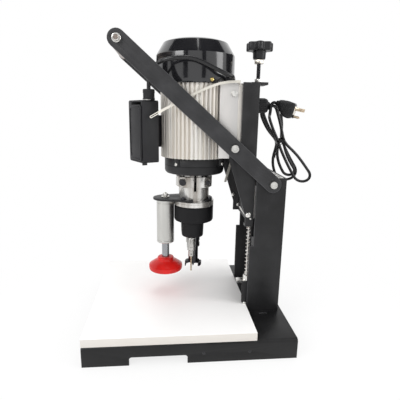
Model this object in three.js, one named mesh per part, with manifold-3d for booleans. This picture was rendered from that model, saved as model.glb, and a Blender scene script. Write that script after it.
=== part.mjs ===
// A hinge boring machine: a motor head with three drill spindles that a hand lever
// pushes down a sheet-steel column, over a work board on a base channel.
// Millimetres, +Z up. The origin is the middle of the base's footprint, on the bench.
// +X points from the operator's handle towards the column, and -Y is the near side.
import * as THREE from 'three';
import { mergeVertices } from 'three/addons/utils/BufferGeometryUtils.js';
import Module from 'manifold-3d';

const wasm = await Module();
wasm.setup();

// Fits
const seatGap = 0.3;
const runGap = 0.4;
const cutOver = 2;

// Base channel and work board
const baseLength = 386;
const baseDepth = 340;
const baseHeight = 39;
const baseSheet = 4;
const baseBend = 6;
const notchInset = 82;
const notchLength = 103;
const notchHeight = 16;
const notchCorner = 5;
const flangeHoleRadius = 2.2;
const flangeHoleHeight = 18.4;
const flangeHoleInset = 214;
const flangeHoleSpacing = 83.5;
const boardGap = 1.5;
const boardThickness = 16;

// Column
const columnWidth = 142;
const columnDepth = 66.2;
const columnSheet = 4;
const columnHeight = 278;
const columnRearInset = 8.3;
const columnStep = 8;
const columnStepHeight = 143;
const columnScrewRadius = 3;
const columnScrewInset = 14;
const pivotInset = 27.7;
const pivotDrop = 11.5;
const stopPlateThickness = 4;
const stopPlateDepth = 50.4;
const guideRodRadius = 8;
const guideRodSpacing = 90;
const guideRodInset = 34.7;
const gasTubeRadius = 11;
const gasTubeWall = 2.5;
const gasTubeClear = 4.7;
const gasTubeEnd = 10;
const gasRodRadius = 4;
const gasRodLength = 115;
const gasPistonHeight = 6;

// Return spring, its bracket and its guide rod
const springWire = 1.8;
const springRadius = 3.4;
const springCurls = 15;
const springFromColumn = 11;
const springFromFront = 1;
const bracketHeight = 102;
const bracketThickness = 4;
const bracketReach = 37.5;
const bracketDepth = 16.7;
const bracketFront = 21;
const bracketLegHeight = 44;
const bracketLegLength = 27;
const bracketLegThickness = 3;
const seatNutRadius = 7;
const seatNutHeight = 10;
const springRodRadius = 1.9;
const springRodProud = 6;

// Carriage
const stroke = 52;
const carriageSheet = 4;
const carriageInset = 2;
const carriageFoot = 221;
const carriageTop = 490;
const postDepth = 30;
const footDepth = 16;
const footHeight = 21;
const gussetDepth = 51.5;
const gussetHeight = 20.5;
const noseHalfWidth = 12;
const slotAngle = 0.72;
const slotLength = 27;
const slotClearance = 1.1;
const springPadThickness = 4;
const springPadDepth = 11;
const lugThickness = 4.5;
const lugReach = 27.5;
const lugHalfWidth = 20;
const guideBlockDepth = 43;
const guideBlockHalfWidth = 58;
const guideBlockHeight = 65;
const guideBlockClear = 13;

// Motor mount and motor
const motorReach = 111.5;
const mountSheet = 6;
const mountBottom = 353;
const mountTop = 488;
const mountFlange = 4;
const mountWallInset = 14;
const mountApron = 40;
const leadHoleReach = 65.8;
const leadHoleAside = 49.4;
const leadHoleRadius = 5.6;
const housingRadius = 67;
const finDepth = 4.5;
const finCount = 30;
const housingBore = 57;
const housingBottom = 351;
const housingTop = 487.7;
const housingEndWall = 11.7;
const cowlRadius = 75;
const cowlFootRadius = 72.5;
const cowlEdgeRadius = 74;
const cowlRimRadius = 61;
const cowlCrownRadius = 52;
const cowlFlareRise = 12.3;
const cowlWallRise = 50.3;
const cowlEdgeRise = 3;
const cowlRimRise = 20.5;
const cowlCrownRise = 3.5;
const cowlTopRise = 1.5;
const cowlWall = 2.5;
const cowlVentRadius = 40;
const cowlVentWidth = 8;
const cowlVentCount = 4;
const bellRadius = 59.5;
const bellFootRadius = 50;
const bellBottom = 318.5;
const bellChamfer = 7.5;
const bellWall = 5;
const bearingRadius = 20;
const bearingHeight = 12;
const bearingWall = 3.7;
const shaftRadius = 8;
const coreRadius = 39.4;
const coreBottom = 380;
const coreTop = 462;
const coreGap = 0.8;
const fanHubRadius = 14;
const fanHubHeight = 28;
const fanLift = 9;
const fanRadius = 60;
const fanBladeCount = 8;
const fanBladeThickness = 2.4;
const shaftEndRadius = 6;
const shaftTop = 528;

// Clamp hub, presser plate, flange and gear case
const hubRadius = 37;
const hubHalfDepth = 30;
const hubShelf = 291;
const hubShoulder = 312;
const hubNeckRadius = 28;
const hubLowerRadius = 31;
const hubBore = 24;
const hubScrewRadius = 6.5;
const hubScrewSpacing = 50;
const hubScrewDepth = 12;
const hubSlitWidth = 5;
const hubSlitBottom = 283;
const plateThickness = 3.7;
const plateSpindleRadius = 38;
const platePresserRadius = 25;
const plateBore = 12;
const plateReliefLeft = 4;
const plateReliefRight = 20;
const plateReliefDepth = 20;
const flangeRadius = 41;
const flangeBottom = 251.3;
const flangeTop = 262;
const flangeBore = 9;
const caseRadius = 40.5;
const caseShelf = 217.6;
const caseBottom = 186.3;
const caseNoseRadius = 24;
const caseNoseHalfSpan = 12;
const caseNoseTaperShare = 0.93;
const caseCorner = 5;

// Spindles
const patternSpan = 48;
const patternOffset = 6;
const gearTeeth = 16;
const gearBottom = 226;
const gearHeight = 14;
const gearAddendum = 0.95;
const gearDedendum = 1.25;
const gearTipShare = 0.13;
const gearRootShare = 0.29;
const spindleRadius = 6;
const spindleTop = 249;
const chuckRadius = 13.5;
const chuckBottom = 158.5;
const holderRadius = 8.2;
const holderCollar = 161;
const holderNoseRadius = 6.2;
const holderBottom = 147;
const hingeBitRadius = 17.5;
const hingeBitShank = 10.3;
const hingeBitTang = 5;
const hingeBitTangLength = 16;
const wingTop = 130;
const wingBottom = 114.5;
const wingWidth = 11;
const wingTurn = 0.2;
const spurDepth = 2;
const spurLength = 3;
const bitTip = 111.5;
const bitPointRadius = 2;
const dowelBitRadius = 1.7;
const dowelBitGrip = 13;

// Presser
const presserReach = 59;
const presserTubeRadius = 18;
const presserTubeBottom = 170;
const presserTubeWall = 3.5;
const presserTubeEnd = 4;
const presserStudRadius = 5;
const presserStudHeight = 10;
const presserRodRadius = 7.8;
const presserTravel = 32;
const presserPistonBottom = 196;
const presserPistonHeight = 4;
const presserSpringInner = 9.5;
const presserSpringOuter = 12.5;
const footBottom = 108.5;
const footRadius = 35.5;
const footSoleRadius = 30;
const footEdgeLow = 5.5;
const footEdgeHigh = 10.5;
const footShoulderRadius = 17;
const footShoulderHeight = 22.5;
const footHubRadius = 15.5;
const footTopHeight = 27.5;
const footSocketDepth = 10;

// Capacitor box
const boxAngle = 0.507;
const boxWidth = 57.6;
const boxDepth = 32.6;
const boxLidDepth = 3;
const boxReach = 122.6;
const boxShift = -16.6;
const boxBottom = 344;
const boxTop = 456;
const boxWall = 3;
const boxCorner = 4;
const lidTopStep = 8;
const lidBottomStep = 4;
const lidFarInset = 10;
const lidNearInset = 2;
const saddleWidth = 12;
const saddleShift = -24;
const saddleHeight = 60;
const capacitorRadius = 12.8;
const capacitorLength = 80;
const capacitorLift = 8;
const boxGlandReach = 98;
const boxGlandShift = -4;
const boxGlandRadius = 11;
const boxGlandHeight = 13;
const boxGlandCapRadius = 10.6;
const boxGlandCapHeight = 7;
const leadRadius = 3.6;
const switchWidth = 13;
const switchHeight = 21;
const switchProud = 3.5;
const switchDepth = 5;
const switchLift = 40;

// Depth stop
const depthRodReach = 11.9;
const depthRodRadius = 4;
const depthRodRise = 62;
const jamNutRadius = 9.6;
const jamNutDrop = 22.7;
const jamNutHeight = 8;
const starHubRadius = 12.5;
const starHubHeight = 15;
const starRadius = 26;
const starValley = 20;
const starHeight = 15.5;
const starLobes = 7;

// Lever
const armWidth = 31;
const armThickness = 5;
const armGap = 1.2;
const leverAngle = 0.7226;
const leverLength = 376.5;
const linkDistance = 101.5;
const boltHeadRadius = 7;
const boltHeadHeight = 5;
const pivotPinRadius = 5;
const pivotNutHeight = 7.4;
const linkPinRadius = 4;
const linkSpacerRadius = 7;
const handleRadius = 14.5;
const handleStudRadius = 5;
const handleStudLength = 12.5;
const handleNutRadius = 7.6;
const handleNutHeight = 7;

// White strap across the motor
const strapWidth = 4.5;
const strapThickness = 1.6;
const strapLift = 1.7;
const strapSlotLength = 14;
const strapSlotWidth = 1.6;
const strapHookLength = 17;

// Mains cord: gland, cord, hank, tie and plug
const cordRadius = 3.1;
const glandY = 30;
const glandHeight = 452;
const glandRadius = 15.5;
const glandBodyLength = 18;
const glandDomeRadius = 14.5;
const glandDomeLength = 28;
const glandMouthRadius = 8;
const glandMouthLength = 5.3;
const glandNutLength = 6;
const glandThreadRadius = 9;
const hankLoops = 3;
const hankSteps = 40;
const hankSides = 6;
const hankWaist = 6.5;
const hankLobe = 25;
const hankBulgeShare = 0.35;
const hankPitch = 7.2;
const hankUpper = 81;
const hankLean = 0.37;
const hankWaistReach = 81.9;
const hankWaistY = 57;
const hankWaistZ = 379.2;
const hankStart = 1.1;
const hankEnd = 0.95;
const hankNudge = 0.001;
const plugNeckReach = 55;
const plugY = 12.5;
const plugHeight = 457.5;
const plugYaw = 0.52;
const plugPitch = 0.21;
const plugNeckRadius = 5.4;
const plugNeckLength = 6.5;
const plugBodyLength = 35;
const plugBodyWidth = 22;
const plugBackHalf = 7.5;
const plugRise = 9.2;
const plugFaceRise = 6.3;
const plugDrop = 24.3;
const plugCorner = 5;
const plugBladeLength = 17;
const plugBladeWidth = 6.3;
const plugBladeThickness = 1.5;
const plugBladeSpacing = 12.7;
const plugBladeDrop = 3;
const plugPinRadius = 2.4;
const plugPinDrop = 18;
const plugPinLength = 12;
const tieWall = 1.5;
const tieLength = 5;
const tieSlack = 2;

// Counts of sides
const wideSides = 28;
const roundSides = 20;
const midSides = 14;
const smallSides = 10;
const tinySides = 8;
const springSteps = 8;
const springSides = 5;

// Heights and places that follow from the sizes
const boardTop = baseHeight + boardThickness;
const halfDepth = baseDepth / 2;
const baseLeft = -baseLength / 2;
const columnRear = baseLength / 2 - columnRearInset;
const columnFront = columnRear - columnDepth;
const columnTop = baseHeight + columnHeight;
const columnHalf = columnWidth / 2;
const columnInner = columnHalf - columnSheet;
const columnFloor = baseHeight + columnSheet;
const pivotX = columnRear - pivotInset;
const pivotZ = columnTop - pivotDrop;
const stopPlateBottom = columnTop - stopPlateThickness;
const guideRodX = columnRear - guideRodInset;
const carriageRear = columnFront + columnStep - carriageInset;
const carriageHalf = columnInner - seatGap;
const carriageInner = carriageHalf - carriageSheet;
const webFront = carriageRear - carriageSheet;
const motorX = carriageRear - motorReach;
const presserX = motorX - presserReach;
const depthRodX = carriageRear + depthRodReach;
const hankWaistX = carriageRear + hankWaistReach;
const plugNeckX = carriageRear + plugNeckReach;
const depthRodTop = carriageTop + depthRodRise;
const jamNutBottom = depthRodTop - jamNutDrop;
const linkX = pivotX - linkDistance * Math.cos(leverAngle);
const linkZ = pivotZ + linkDistance * Math.sin(leverAngle);
const handleX = pivotX - leverLength * Math.cos(leverAngle);
const handleZ = pivotZ + leverLength * Math.sin(leverAngle);
const armInner = columnHalf + armGap;
const armOuter = armInner + armThickness;
const springX = columnFront - springFromFront;
const springY = -(columnHalf - springFromColumn);
const bracketTop = bracketHeight + bracketThickness;
const springBottom = bracketTop + seatNutHeight + seatGap;
const springTop = carriageFoot - seatGap;
const guideBlockTop = stopPlateBottom - guideBlockClear;
const guideBlockBottom = guideBlockTop - guideBlockHeight;
const mountHalf = carriageInner - seatGap;
const cowlFlareTop = housingTop + cowlFlareRise;
const cowlShoulder = housingTop + cowlWallRise;
const cowlEdgeHeight = cowlShoulder + cowlEdgeRise;
const cowlRimHeight = cowlEdgeHeight + cowlRimRise;
const cowlCrownHeight = cowlRimHeight + cowlCrownRise;
const cowlTop = cowlCrownHeight + cowlTopRise;
const fanBottom = housingTop + fanLift;
const plateTop = hubLowerBottom() - seatGap;
const plateBottom = plateTop - plateThickness;
const sideSpindleX = motorX - patternOffset;
const gearRadius = Math.hypot(patternOffset, patternSpan / 2) / 2;
const cableExit = new THREE.Vector3(carriageRear + glandBodyLength + glandDomeLength, glandY, glandHeight);

// Routes, hand-chosen points that start from the motor's axis or the carriage's rear
const motorLeadRoute = [
  [-87.7, -44, 476.6],
  [-87.6, -44.3, 485],
  [-86.3, -49, 496],
  [-83, -57.5, 505.5],
  [-79, -64, 511],
  [-74, -67.7, 515.3],
  [-66.3, -69.5, 519.9],
  [-56.3, -75.5, 522.9],
  [-39.5, -81, 525.2],
  [-19.9, -82.5, 525.8],
  [-7.4, -82.5, 523.9],
  [6.3, -82.5, 519.5],
  [21.9, -82, 512.7],
  [41.2, -81, 504.2],
  [56.5, -76, 498.7],
  [60.3, -71, 497.9],
  [62.3, -64.5, 496.4],
  [64, -58, 494.5],
  [64.9, -54, 492.3],
  [65.6, -50.5, 489],
  [66, -48.4, 484.4],
  [66.2, -47.9, 480.6],
  [64.6, -46.8, 473.4],
  [60.3, -43.7, 468],
  [54.9, -39.7, 466.1],
];
const strapRoute = [
  [-83.2, 427.2],
  [-58.5, 441.4],
  [-26.7, 457],
  [3.1, 472.8],
  [20.7, 480.3],
  [38.3, 486.6],
  [56, 489.6],
  [75, 490.55],
];
const mainsCordRoute = [
  [46.3, 30, 452],
  [53.5, 30, 452],
  [64, 32.5, 451.5],
  [73.5, 38.5, 450],
  [80, 47, 447],
  [82.7, 57, 441.8],
  [83.65, 64.2, 433.3],
  [84.6, 64.2, 426.44],
];
const hankTailRoute = [
  [52.7, 45.3, 425.5],
  [50.3, 40, 430],
  [48.1, 32, 432.6],
  [46.3, 24.5, 434],
  [44.9, 18, 437.5],
  [44.5, 14.6, 443.5],
  [44.5, 13.7, 449.7],
  [46.3, 14.4, 455.3],
  [50.7, 15, 458.5],
  [54.75, 12.65, 457.56],
];

function hubLowerBottom() {
  return flangeTop + plateThickness + seatGap + seatGap;
}

// Finishes
const finish = (color, roughness, metalness) =>
  new THREE.MeshStandardMaterial({ color, roughness, metalness });
const blackPaint = () => finish(0x242528, 0.5, 0.2);
const blackGloss = () => finish(0x17181a, 0.15, 0.1);
const blackPlastic = () => finish(0x1c1c1e, 0.55, 0);
const whiteBoard = () => finish(0xf2f1ee, 0.4, 0);
const zincSteel = () => finish(0xc9cac8, 0.35, 0.9);
const rawAluminium = () => finish(0xc4c2bd, 0.4, 0.85);
const satinSteel = () => finish(0xa8a6a2, 0.3, 1);
const darkSteel = () => finish(0x2b2b2e, 0.35, 0.9);
const copperWire = () => finish(0x9a5b32, 0.45, 0.7);
const redPlastic = () => finish(0xd32126, 0.4, 0);
const whiteNylon = () => finish(0xeeeae0, 0.6, 0);
const cordRubber = () => finish(0x1a1a1b, 0.6, 0);

const machine = new THREE.Group();

// Shape helpers

// A route moved along the machine to where it starts.
const laid = (start, route) => route.map(([reach, ...rest]) => [start + reach, ...rest]);

// One closed surface with shared corners and its faces outwards.
function weld(geometry) {
  const bare = new THREE.BufferGeometry();
  bare.setAttribute('position', geometry.getAttribute('position').clone());
  if (geometry.index) bare.setIndex(geometry.index.clone());
  const merged = mergeVertices(bare, 1e-4);
  const corners = merged.index.array;
  const place = merged.getAttribute('position');
  const kept = [];
  let volume = 0;
  const a = new THREE.Vector3();
  const b = new THREE.Vector3();
  const c = new THREE.Vector3();
  for (let i = 0; i < corners.length; i += 3) {
    const [p, q, r] = [corners[i], corners[i + 1], corners[i + 2]];
    if (p === q || q === r || r === p) continue;
    kept.push(p, q, r);
    a.fromBufferAttribute(place, p);
    b.fromBufferAttribute(place, q);
    c.fromBufferAttribute(place, r);
    volume += a.dot(b.cross(c));
  }
  if (volume < 0) kept.reverse();
  merged.setIndex(kept);
  return merged;
}

function toSolid(geometry) {
  const mesh = weld(geometry);
  const vertProperties = new Float32Array(mesh.getAttribute('position').array);
  const triVerts = new Uint32Array(mesh.index.array);
  return new wasm.Manifold(new wasm.Mesh({ numProp: 3, vertProperties, triVerts }));
}

function toGeometry(solid) {
  const mesh = solid.getMesh();
  const geometry = new THREE.BufferGeometry();
  geometry.setAttribute('position', new THREE.BufferAttribute(mesh.vertProperties, 3));
  geometry.setIndex(new THREE.BufferAttribute(mesh.triVerts, 1));
  return geometry;
}

const join = (...parts) => toGeometry(parts.map(toSolid).reduce((a, b) => a.add(b)));
const cut = (part, ...tools) => toGeometry(tools.map(toSolid).reduce(
  (a, b) => a.subtract(b),
  toSolid(part),
));
const common = (a, b) => toGeometry(toSolid(a).intersect(toSolid(b)));

function add(name, geometry, material, parent = machine) {
  const mesh = new THREE.Mesh(weld(geometry), material);
  mesh.name = name;
  parent.add(mesh);
  return mesh;
}

function block([x0, x1], [y0, y1], [z0, z1]) {
  const geometry = new THREE.BoxGeometry(x1 - x0, y1 - y0, z1 - z0);
  return geometry.translate((x0 + x1) / 2, (y0 + y1) / 2, (z0 + z1) / 2);
}

// A round bar along one axis; its centre is given in the two other directions.
function bar(axis, radius, [u, v], [from, to], sides = roundSides) {
  const geometry = new THREE.CylinderGeometry(radius, radius, to - from, sides);
  const middle = (from + to) / 2;
  if (axis === 'x') return geometry.rotateZ(Math.PI / 2).translate(middle, u, v);
  if (axis === 'y') return geometry.translate(u, middle, v);
  return geometry.rotateX(Math.PI / 2).translate(u, v, middle);
}

// The corner radius that keeps the flats of a many-sided bore outside a radius.
const clearOf = (radius, sides) => radius / Math.cos(Math.PI / sides);

function drill(axis, radius, centre, span, sides = roundSides) {
  return bar(axis, clearOf(radius, sides), centre, span, sides);
}

// A body of revolution about a vertical axis, from a profile of [radius, height].
function turned(profile, [x, y] = [0, 0], sides = roundSides) {
  const points = profile.map(([radius, height]) => new THREE.Vector2(radius, height));
  return new THREE.LatheGeometry(points, sides).rotateX(Math.PI / 2).translate(x, y, 0);
}

function ringProfile(inner, outer, bottom, top) {
  return [[inner, bottom], [outer, bottom], [outer, top], [inner, top], [inner, bottom]];
}

const axisX = new THREE.Vector3(1, 0, 0);
const axisY = new THREE.Vector3(0, 1, 0);
const axisZ = new THREE.Vector3(0, 0, 1);

// An outline pushed through from one level to another, square to its plane.
function pushed(plane, shape, [from, to], curveSegments = 6) {
  const depth = to - from;
  const geometry = new THREE.ExtrudeGeometry(shape, { depth, bevelEnabled: false, curveSegments });
  const basis = new THREE.Matrix4();
  if (plane === 'xy') return geometry.translate(0, 0, from);
  if (plane === 'yz') return geometry.applyMatrix4(basis.makeBasis(
    axisY,
    axisZ,
    axisX,
  )).translate(from, 0, 0);
  basis.makeBasis(axisX, axisZ, axisY.clone().negate());
  return geometry.applyMatrix4(basis).translate(0, to, 0);
}

function outline(points) {
  return new THREE.Shape(points.map(([u, v]) => new THREE.Vector2(u, v)));
}

function roundedBox(u0, u1, v0, v1, radius) {
  const shape = new THREE.Shape();
  shape.absarc(u1 - radius, v0 + radius, radius, -Math.PI / 2, 0);
  shape.absarc(u1 - radius, v1 - radius, radius, 0, Math.PI / 2);
  shape.absarc(u0 + radius, v1 - radius, radius, Math.PI / 2, Math.PI);
  shape.absarc(u0 + radius, v0 + radius, radius, Math.PI, Math.PI * 1.5);
  return shape;
}

// Two round ends and the straight edges between them.
function capsule([u0, v0], r0, [u1, v1], r1 = r0) {
  const heading = Math.atan2(v1 - v0, u1 - u0);
  const spread = Math.acos((r0 - r1) / Math.hypot(u1 - u0, v1 - v0));
  const shape = new THREE.Shape();
  shape.absarc(u1, v1, r1, heading - spread, heading + spread);
  shape.absarc(u0, v0, r0, heading + spread, heading - spread + 2 * Math.PI);
  return shape;
}

function hexNut(radius, [x, y], [bottom, top]) {
  return bar('z', radius, [x, y], [bottom, top], 6);
}

// A tube through rings of points, with flat ends, for windings.
function wound(points, radius, sides) {
  const count = points.length;
  const tangents = points.map((point, i) => {
    const before = points[Math.max(i - 1, 0)];
    const after = points[Math.min(i + 1, count - 1)];
    return after.clone().sub(before).normalize();
  });
  const side = new THREE.Vector3(1, 0, 0);
  if (Math.abs(tangents[0].x) > 0.7) side.set(0, 0, 1);
  const places = [];
  for (let i = 0; i < count; i++) {
    side.addScaledVector(tangents[i], -side.dot(tangents[i])).normalize();
    const other = tangents[i].clone().cross(side);
    for (let k = 0; k < sides; k++) {
      const turn = (2 * Math.PI * k) / sides;
      const place = points[i].clone().addScaledVector(side, radius * Math.cos(turn));
      place.addScaledVector(other, radius * Math.sin(turn));
      places.push(place.x, place.y, place.z);
    }
  }
  const faces = [];
  for (let i = 0; i + 1 < count; i++) {
    for (let k = 0; k < sides; k++) {
      const next = (k + 1) % sides;
      const [a, b] = [i * sides + k, i * sides + next];
      faces.push(a, b, b + sides, a, b + sides, a + sides);
    }
  }
  const last = (count - 1) * sides;
  for (let k = 1; k + 1 < sides; k++) {
    faces.push(0, k + 1, k);
    faces.push(last, last + k, last + k + 1);
  }
  const geometry = new THREE.BufferGeometry();
  geometry.setAttribute('position', new THREE.Float32BufferAttribute(places, 3));
  geometry.setIndex(faces);
  return geometry;
}

// The least gap between stretches of a winding that lie more than half a loop apart.
function leastGap(points, radius, apart) {
  let least = Infinity;
  for (let i = 0; i < points.length; i++) {
    for (let j = i + apart; j < points.length; j++) {
      least = Math.min(least, points[i].distanceTo(points[j]));
    }
  }
  return least - 2 * radius;
}

// A round tube along a free route.
function routed(route, radius, steps, sides = 8) {
  const points = route.map(([x, y, z]) => new THREE.Vector3(x, y, z));
  const path = new THREE.CatmullRomCurve3(points, false, 'centripetal');
  const section = new THREE.Shape();
  for (let k = 0; k < sides; k++) {
    const turn = (2 * Math.PI * k) / sides;
    const [u, v] = [radius * Math.cos(turn), radius * Math.sin(turn)];
    if (k === 0) section.moveTo(u, v);
    else section.lineTo(u, v);
  }
  return new THREE.ExtrudeGeometry(section, { steps, bevelEnabled: false, extrudePath: path });
}

const mirrorY = (side, [a, b]) => (side < 0 ? [-b, -a] : [a, b]);

// Stand
function baseChannel() {
  const shape = new THREE.Shape();
  const inner = baseBend - baseSheet;
  const bendY = halfDepth - baseBend;
  const bendZ = baseHeight - baseBend;
  shape.moveTo(halfDepth, 0);
  shape.absarc(bendY, bendZ, baseBend, 0, Math.PI / 2);
  shape.absarc(-bendY, bendZ, baseBend, Math.PI / 2, Math.PI);
  shape.lineTo(-halfDepth, 0);
  shape.lineTo(-halfDepth + baseSheet, 0);
  shape.absarc(-bendY, bendZ, inner, Math.PI, Math.PI / 2, true);
  shape.absarc(bendY, bendZ, inner, Math.PI / 2, 0, true);
  shape.lineTo(halfDepth - baseSheet, 0);
  const channel = pushed('yz', shape, [baseLeft, -baseLeft], 4);
  const front = [-halfDepth - cutOver, -halfDepth + baseSheet + cutOver];
  const notchLeft = baseLeft + notchInset;
  const mouth = roundedBox(notchLeft, notchLeft + notchLength, -notchHeight, notchHeight, notchCorner);
  const holes = [0, 1].map((k) => {
    const x = baseLeft + flangeHoleInset + k * flangeHoleSpacing;
    return drill('y', flangeHoleRadius, [x, flangeHoleHeight], front, smallSides);
  });
  return cut(channel, pushed('xz', mouth, front), ...holes);
}

function workBoard() {
  return block([baseLeft, columnFront - boardGap], [-halfDepth, halfDepth], [baseHeight, boardTop]);
}

function columnChannel() {
  const body = block([columnFront, columnRear], [-columnHalf, columnHalf], [baseHeight, columnTop]);
  const inside = block(
    [columnFront - cutOver, columnRear - columnSheet],
    [-columnInner, columnInner],
    [columnFloor, columnTop + cutOver],
  );
  const upperFront = block(
    [columnFront - cutOver, columnFront + columnStep],
    [-columnHalf - cutOver, columnHalf + cutOver],
    [baseHeight + columnStepHeight, columnTop + cutOver],
  );
  const pin = drill(
    'y',
    pivotPinRadius + seatGap,
    [pivotX, pivotZ],
    [-columnHalf - cutOver, columnHalf + cutOver],
    smallSides,
  );
  const screws = [-1, 1].map((side) => {
    const y = side * (columnInner - columnScrewInset);
    return bar(
      'z',
      columnScrewRadius,
      [guideRodX - columnScrewInset, y],
      [0, columnFloor + cutOver],
      smallSides,
    );
  });
  return cut(body, inside, upperFront, pin, ...screws);
}

function stopPlate() {
  const rear = columnRear - columnSheet - seatGap;
  const half = columnInner - seatGap;
  return block([rear - stopPlateDepth, rear], [-half, half], [stopPlateBottom, columnTop]);
}

function guideRod(side) {
  const y = (side * guideRodSpacing) / 2;
  return bar(
    'z',
    guideRodRadius,
    [guideRodX, y],
    [columnFloor + seatGap, stopPlateBottom - seatGap],
    midSides,
  );
}

function gasSpringTube() {
  const bottom = columnFloor + seatGap;
  const top = guideBlockBottom - stroke - gasTubeClear;
  const bore = gasTubeRadius - gasTubeWall;
  const tube = bar('z', gasTubeRadius, [guideRodX, 0], [bottom, top], midSides);
  const hollow = drill('z', bore, [guideRodX, 0], [bottom + gasTubeEnd, top - gasTubeEnd], midSides);
  const mouth = drill(
    'z',
    gasRodRadius + runGap,
    [guideRodX, 0],
    [top - gasTubeEnd - cutOver, top + cutOver],
    midSides,
  );
  return cut(tube, hollow, mouth);
}

function gasSpringRod() {
  const top = guideBlockBottom - seatGap;
  const bottom = top - gasRodLength;
  const piston = gasTubeRadius - gasTubeWall - runGap;
  const rod = bar('z', gasRodRadius, [guideRodX, 0], [bottom, top], midSides);
  return join(rod, bar('z', piston, [guideRodX, 0], [bottom, bottom + gasPistonHeight], midSides));
}

function springBracket() {
  const outer = -(columnInner - seatGap);
  const front = columnFront - bracketFront;
  const shelf = block(
    [front, front + bracketReach],
    [outer, outer + bracketDepth],
    [bracketHeight, bracketTop],
  );
  const legRight = front + bracketReach;
  const leg = block(
    [legRight - bracketLegLength, legRight],
    [outer, outer + bracketLegThickness],
    [bracketHeight - bracketLegHeight, bracketTop],
  );
  const hole = drill(
    'z',
    springRodRadius + seatGap,
    [springX, springY],
    [bracketHeight - cutOver, bracketTop + cutOver],
    tinySides,
  );
  return cut(join(shelf, leg), hole);
}

function springRod() {
  const top = carriageFoot + springPadThickness + springRodProud;
  const rod = bar(
    'z',
    springRodRadius,
    [springX, springY],
    [bracketHeight - springRodProud, top],
    tinySides,
  );
  const nutBottom = bracketTop + seatGap;
  return join(rod, hexNut(seatNutRadius, [springX, springY], [nutBottom, bracketTop + seatNutHeight]));
}

function springLine(stepsPerCurl) {
  const count = springCurls * stepsPerCurl;
  const low = springBottom + springWire / 2;
  const rise = springTop - springBottom - springWire;
  const points = [];
  for (let i = 0; i <= count; i++) {
    const turn = (2 * Math.PI * i) / stepsPerCurl;
    const x = springX + springRadius * Math.cos(turn);
    const y = springY + springRadius * Math.sin(turn);
    points.push(new THREE.Vector3(x, y, low + (rise * i) / count));
  }
  return points;
}

function returnSpring() {
  const fine = springLine(4 * springSteps);
  const gap = leastGap(fine, springWire / 2, 2 * springSteps);
  console.log(`return_spring: least gap to itself ${gap.toFixed(2)} mm`);
  return wound(springLine(springSteps), springWire / 2, springSides);
}

function hingeBolt(side) {
  const head = armOuter + seatGap;
  const nutInner = columnInner - seatGap - pivotNutHeight;
  const pin = bar('y', pivotPinRadius, [pivotX, pivotZ], mirrorY(side, [nutInner, head]), smallSides);
  const cap = bar(
    'y',
    boltHeadRadius,
    [pivotX, pivotZ],
    mirrorY(side, [head, head + boltHeadHeight]),
    smallSides,
  );
  const nut = bar(
    'y',
    boltHeadRadius,
    [pivotX, pivotZ],
    mirrorY(side, [nutInner, columnInner - seatGap]),
    6,
  );
  return join(pin, cap, nut);
}

// Carriage

// The way along which the lever's pin pushes the side plate.
function slotEnd(share) {
  const along = slotLength * share;
  return [linkX - along * Math.cos(slotAngle), linkZ + along * Math.sin(slotAngle)];
}

function carriageChannel() {
  const post = carriageRear - postDepth;
  const foot = carriageRear - footDepth;
  const gusset = carriageRear - gussetDepth;
  const gussetBottom = linkZ - gussetHeight;
  const profile = outline([
    [carriageRear, carriageFoot],
    [carriageRear, carriageTop],
    [post, carriageTop],
    [post, linkZ + noseHalfWidth / 2],
    [gusset, linkZ],
    [gusset, gussetBottom],
    [foot, carriageFoot + footHeight],
    [foot, carriageFoot],
  ]);
  const nose = capsule([linkX, linkZ], noseHalfWidth, slotEnd(1));
  const slot = capsule([linkX, linkZ], linkPinRadius + slotClearance, slotEnd(1));
  const plates = [-1, 1].map((side) => {
    const span = mirrorY(side, [carriageInner, carriageHalf]);
    const wide = [span[0] - cutOver, span[1] + cutOver];
    return cut(join(pushed('xz', profile, span), pushed('xz', nose, span)), pushed('xz', slot, wide));
  });
  const web = block(
    [webFront, carriageRear],
    [-carriageInner - cutOver, carriageInner + cutOver],
    [carriageFoot, carriageTop],
  );
  const lug = block(
    [webFront, carriageRear + lugReach],
    [-lugHalfWidth, lugHalfWidth],
    [carriageTop - seatGap, carriageTop + lugThickness],
  );
  const pad = block(
    [foot, webFront + seatGap],
    [-carriageInner - seatGap, -carriageInner + springPadDepth],
    [carriageFoot, carriageFoot + springPadThickness],
  );
  const rodHole = drill(
    'z',
    depthRodRadius + seatGap,
    [depthRodX, 0],
    [carriageTop - cutOver, carriageTop + 2 * lugThickness],
    midSides,
  );
  const springHole = drill(
    'z',
    springRodRadius + runGap,
    [springX, springY],
    [carriageFoot - cutOver, carriageFoot + 2 * springPadThickness],
    tinySides,
  );
  const cableHole = drill(
    'x',
    glandThreadRadius + seatGap,
    [glandY, glandHeight],
    [webFront - cutOver, carriageRear + cutOver],
    midSides,
  );
  return cut(join(...plates, web, lug, pad), rodHole, springHole, cableHole);
}

function guideBlock() {
  const front = carriageRear + seatGap;
  const [bottom, top] = [guideBlockBottom, guideBlockTop];
  const body = block(
    [front, front + guideBlockDepth],
    [-guideBlockHalfWidth, guideBlockHalfWidth],
    [bottom, top],
  );
  const bores = [-1, 1].map((side) => {
    const y = (side * guideRodSpacing) / 2;
    return drill('z', guideRodRadius + runGap, [guideRodX, y], [bottom - cutOver, top + cutOver], midSides);
  });
  return cut(body, ...bores);
}

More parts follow.
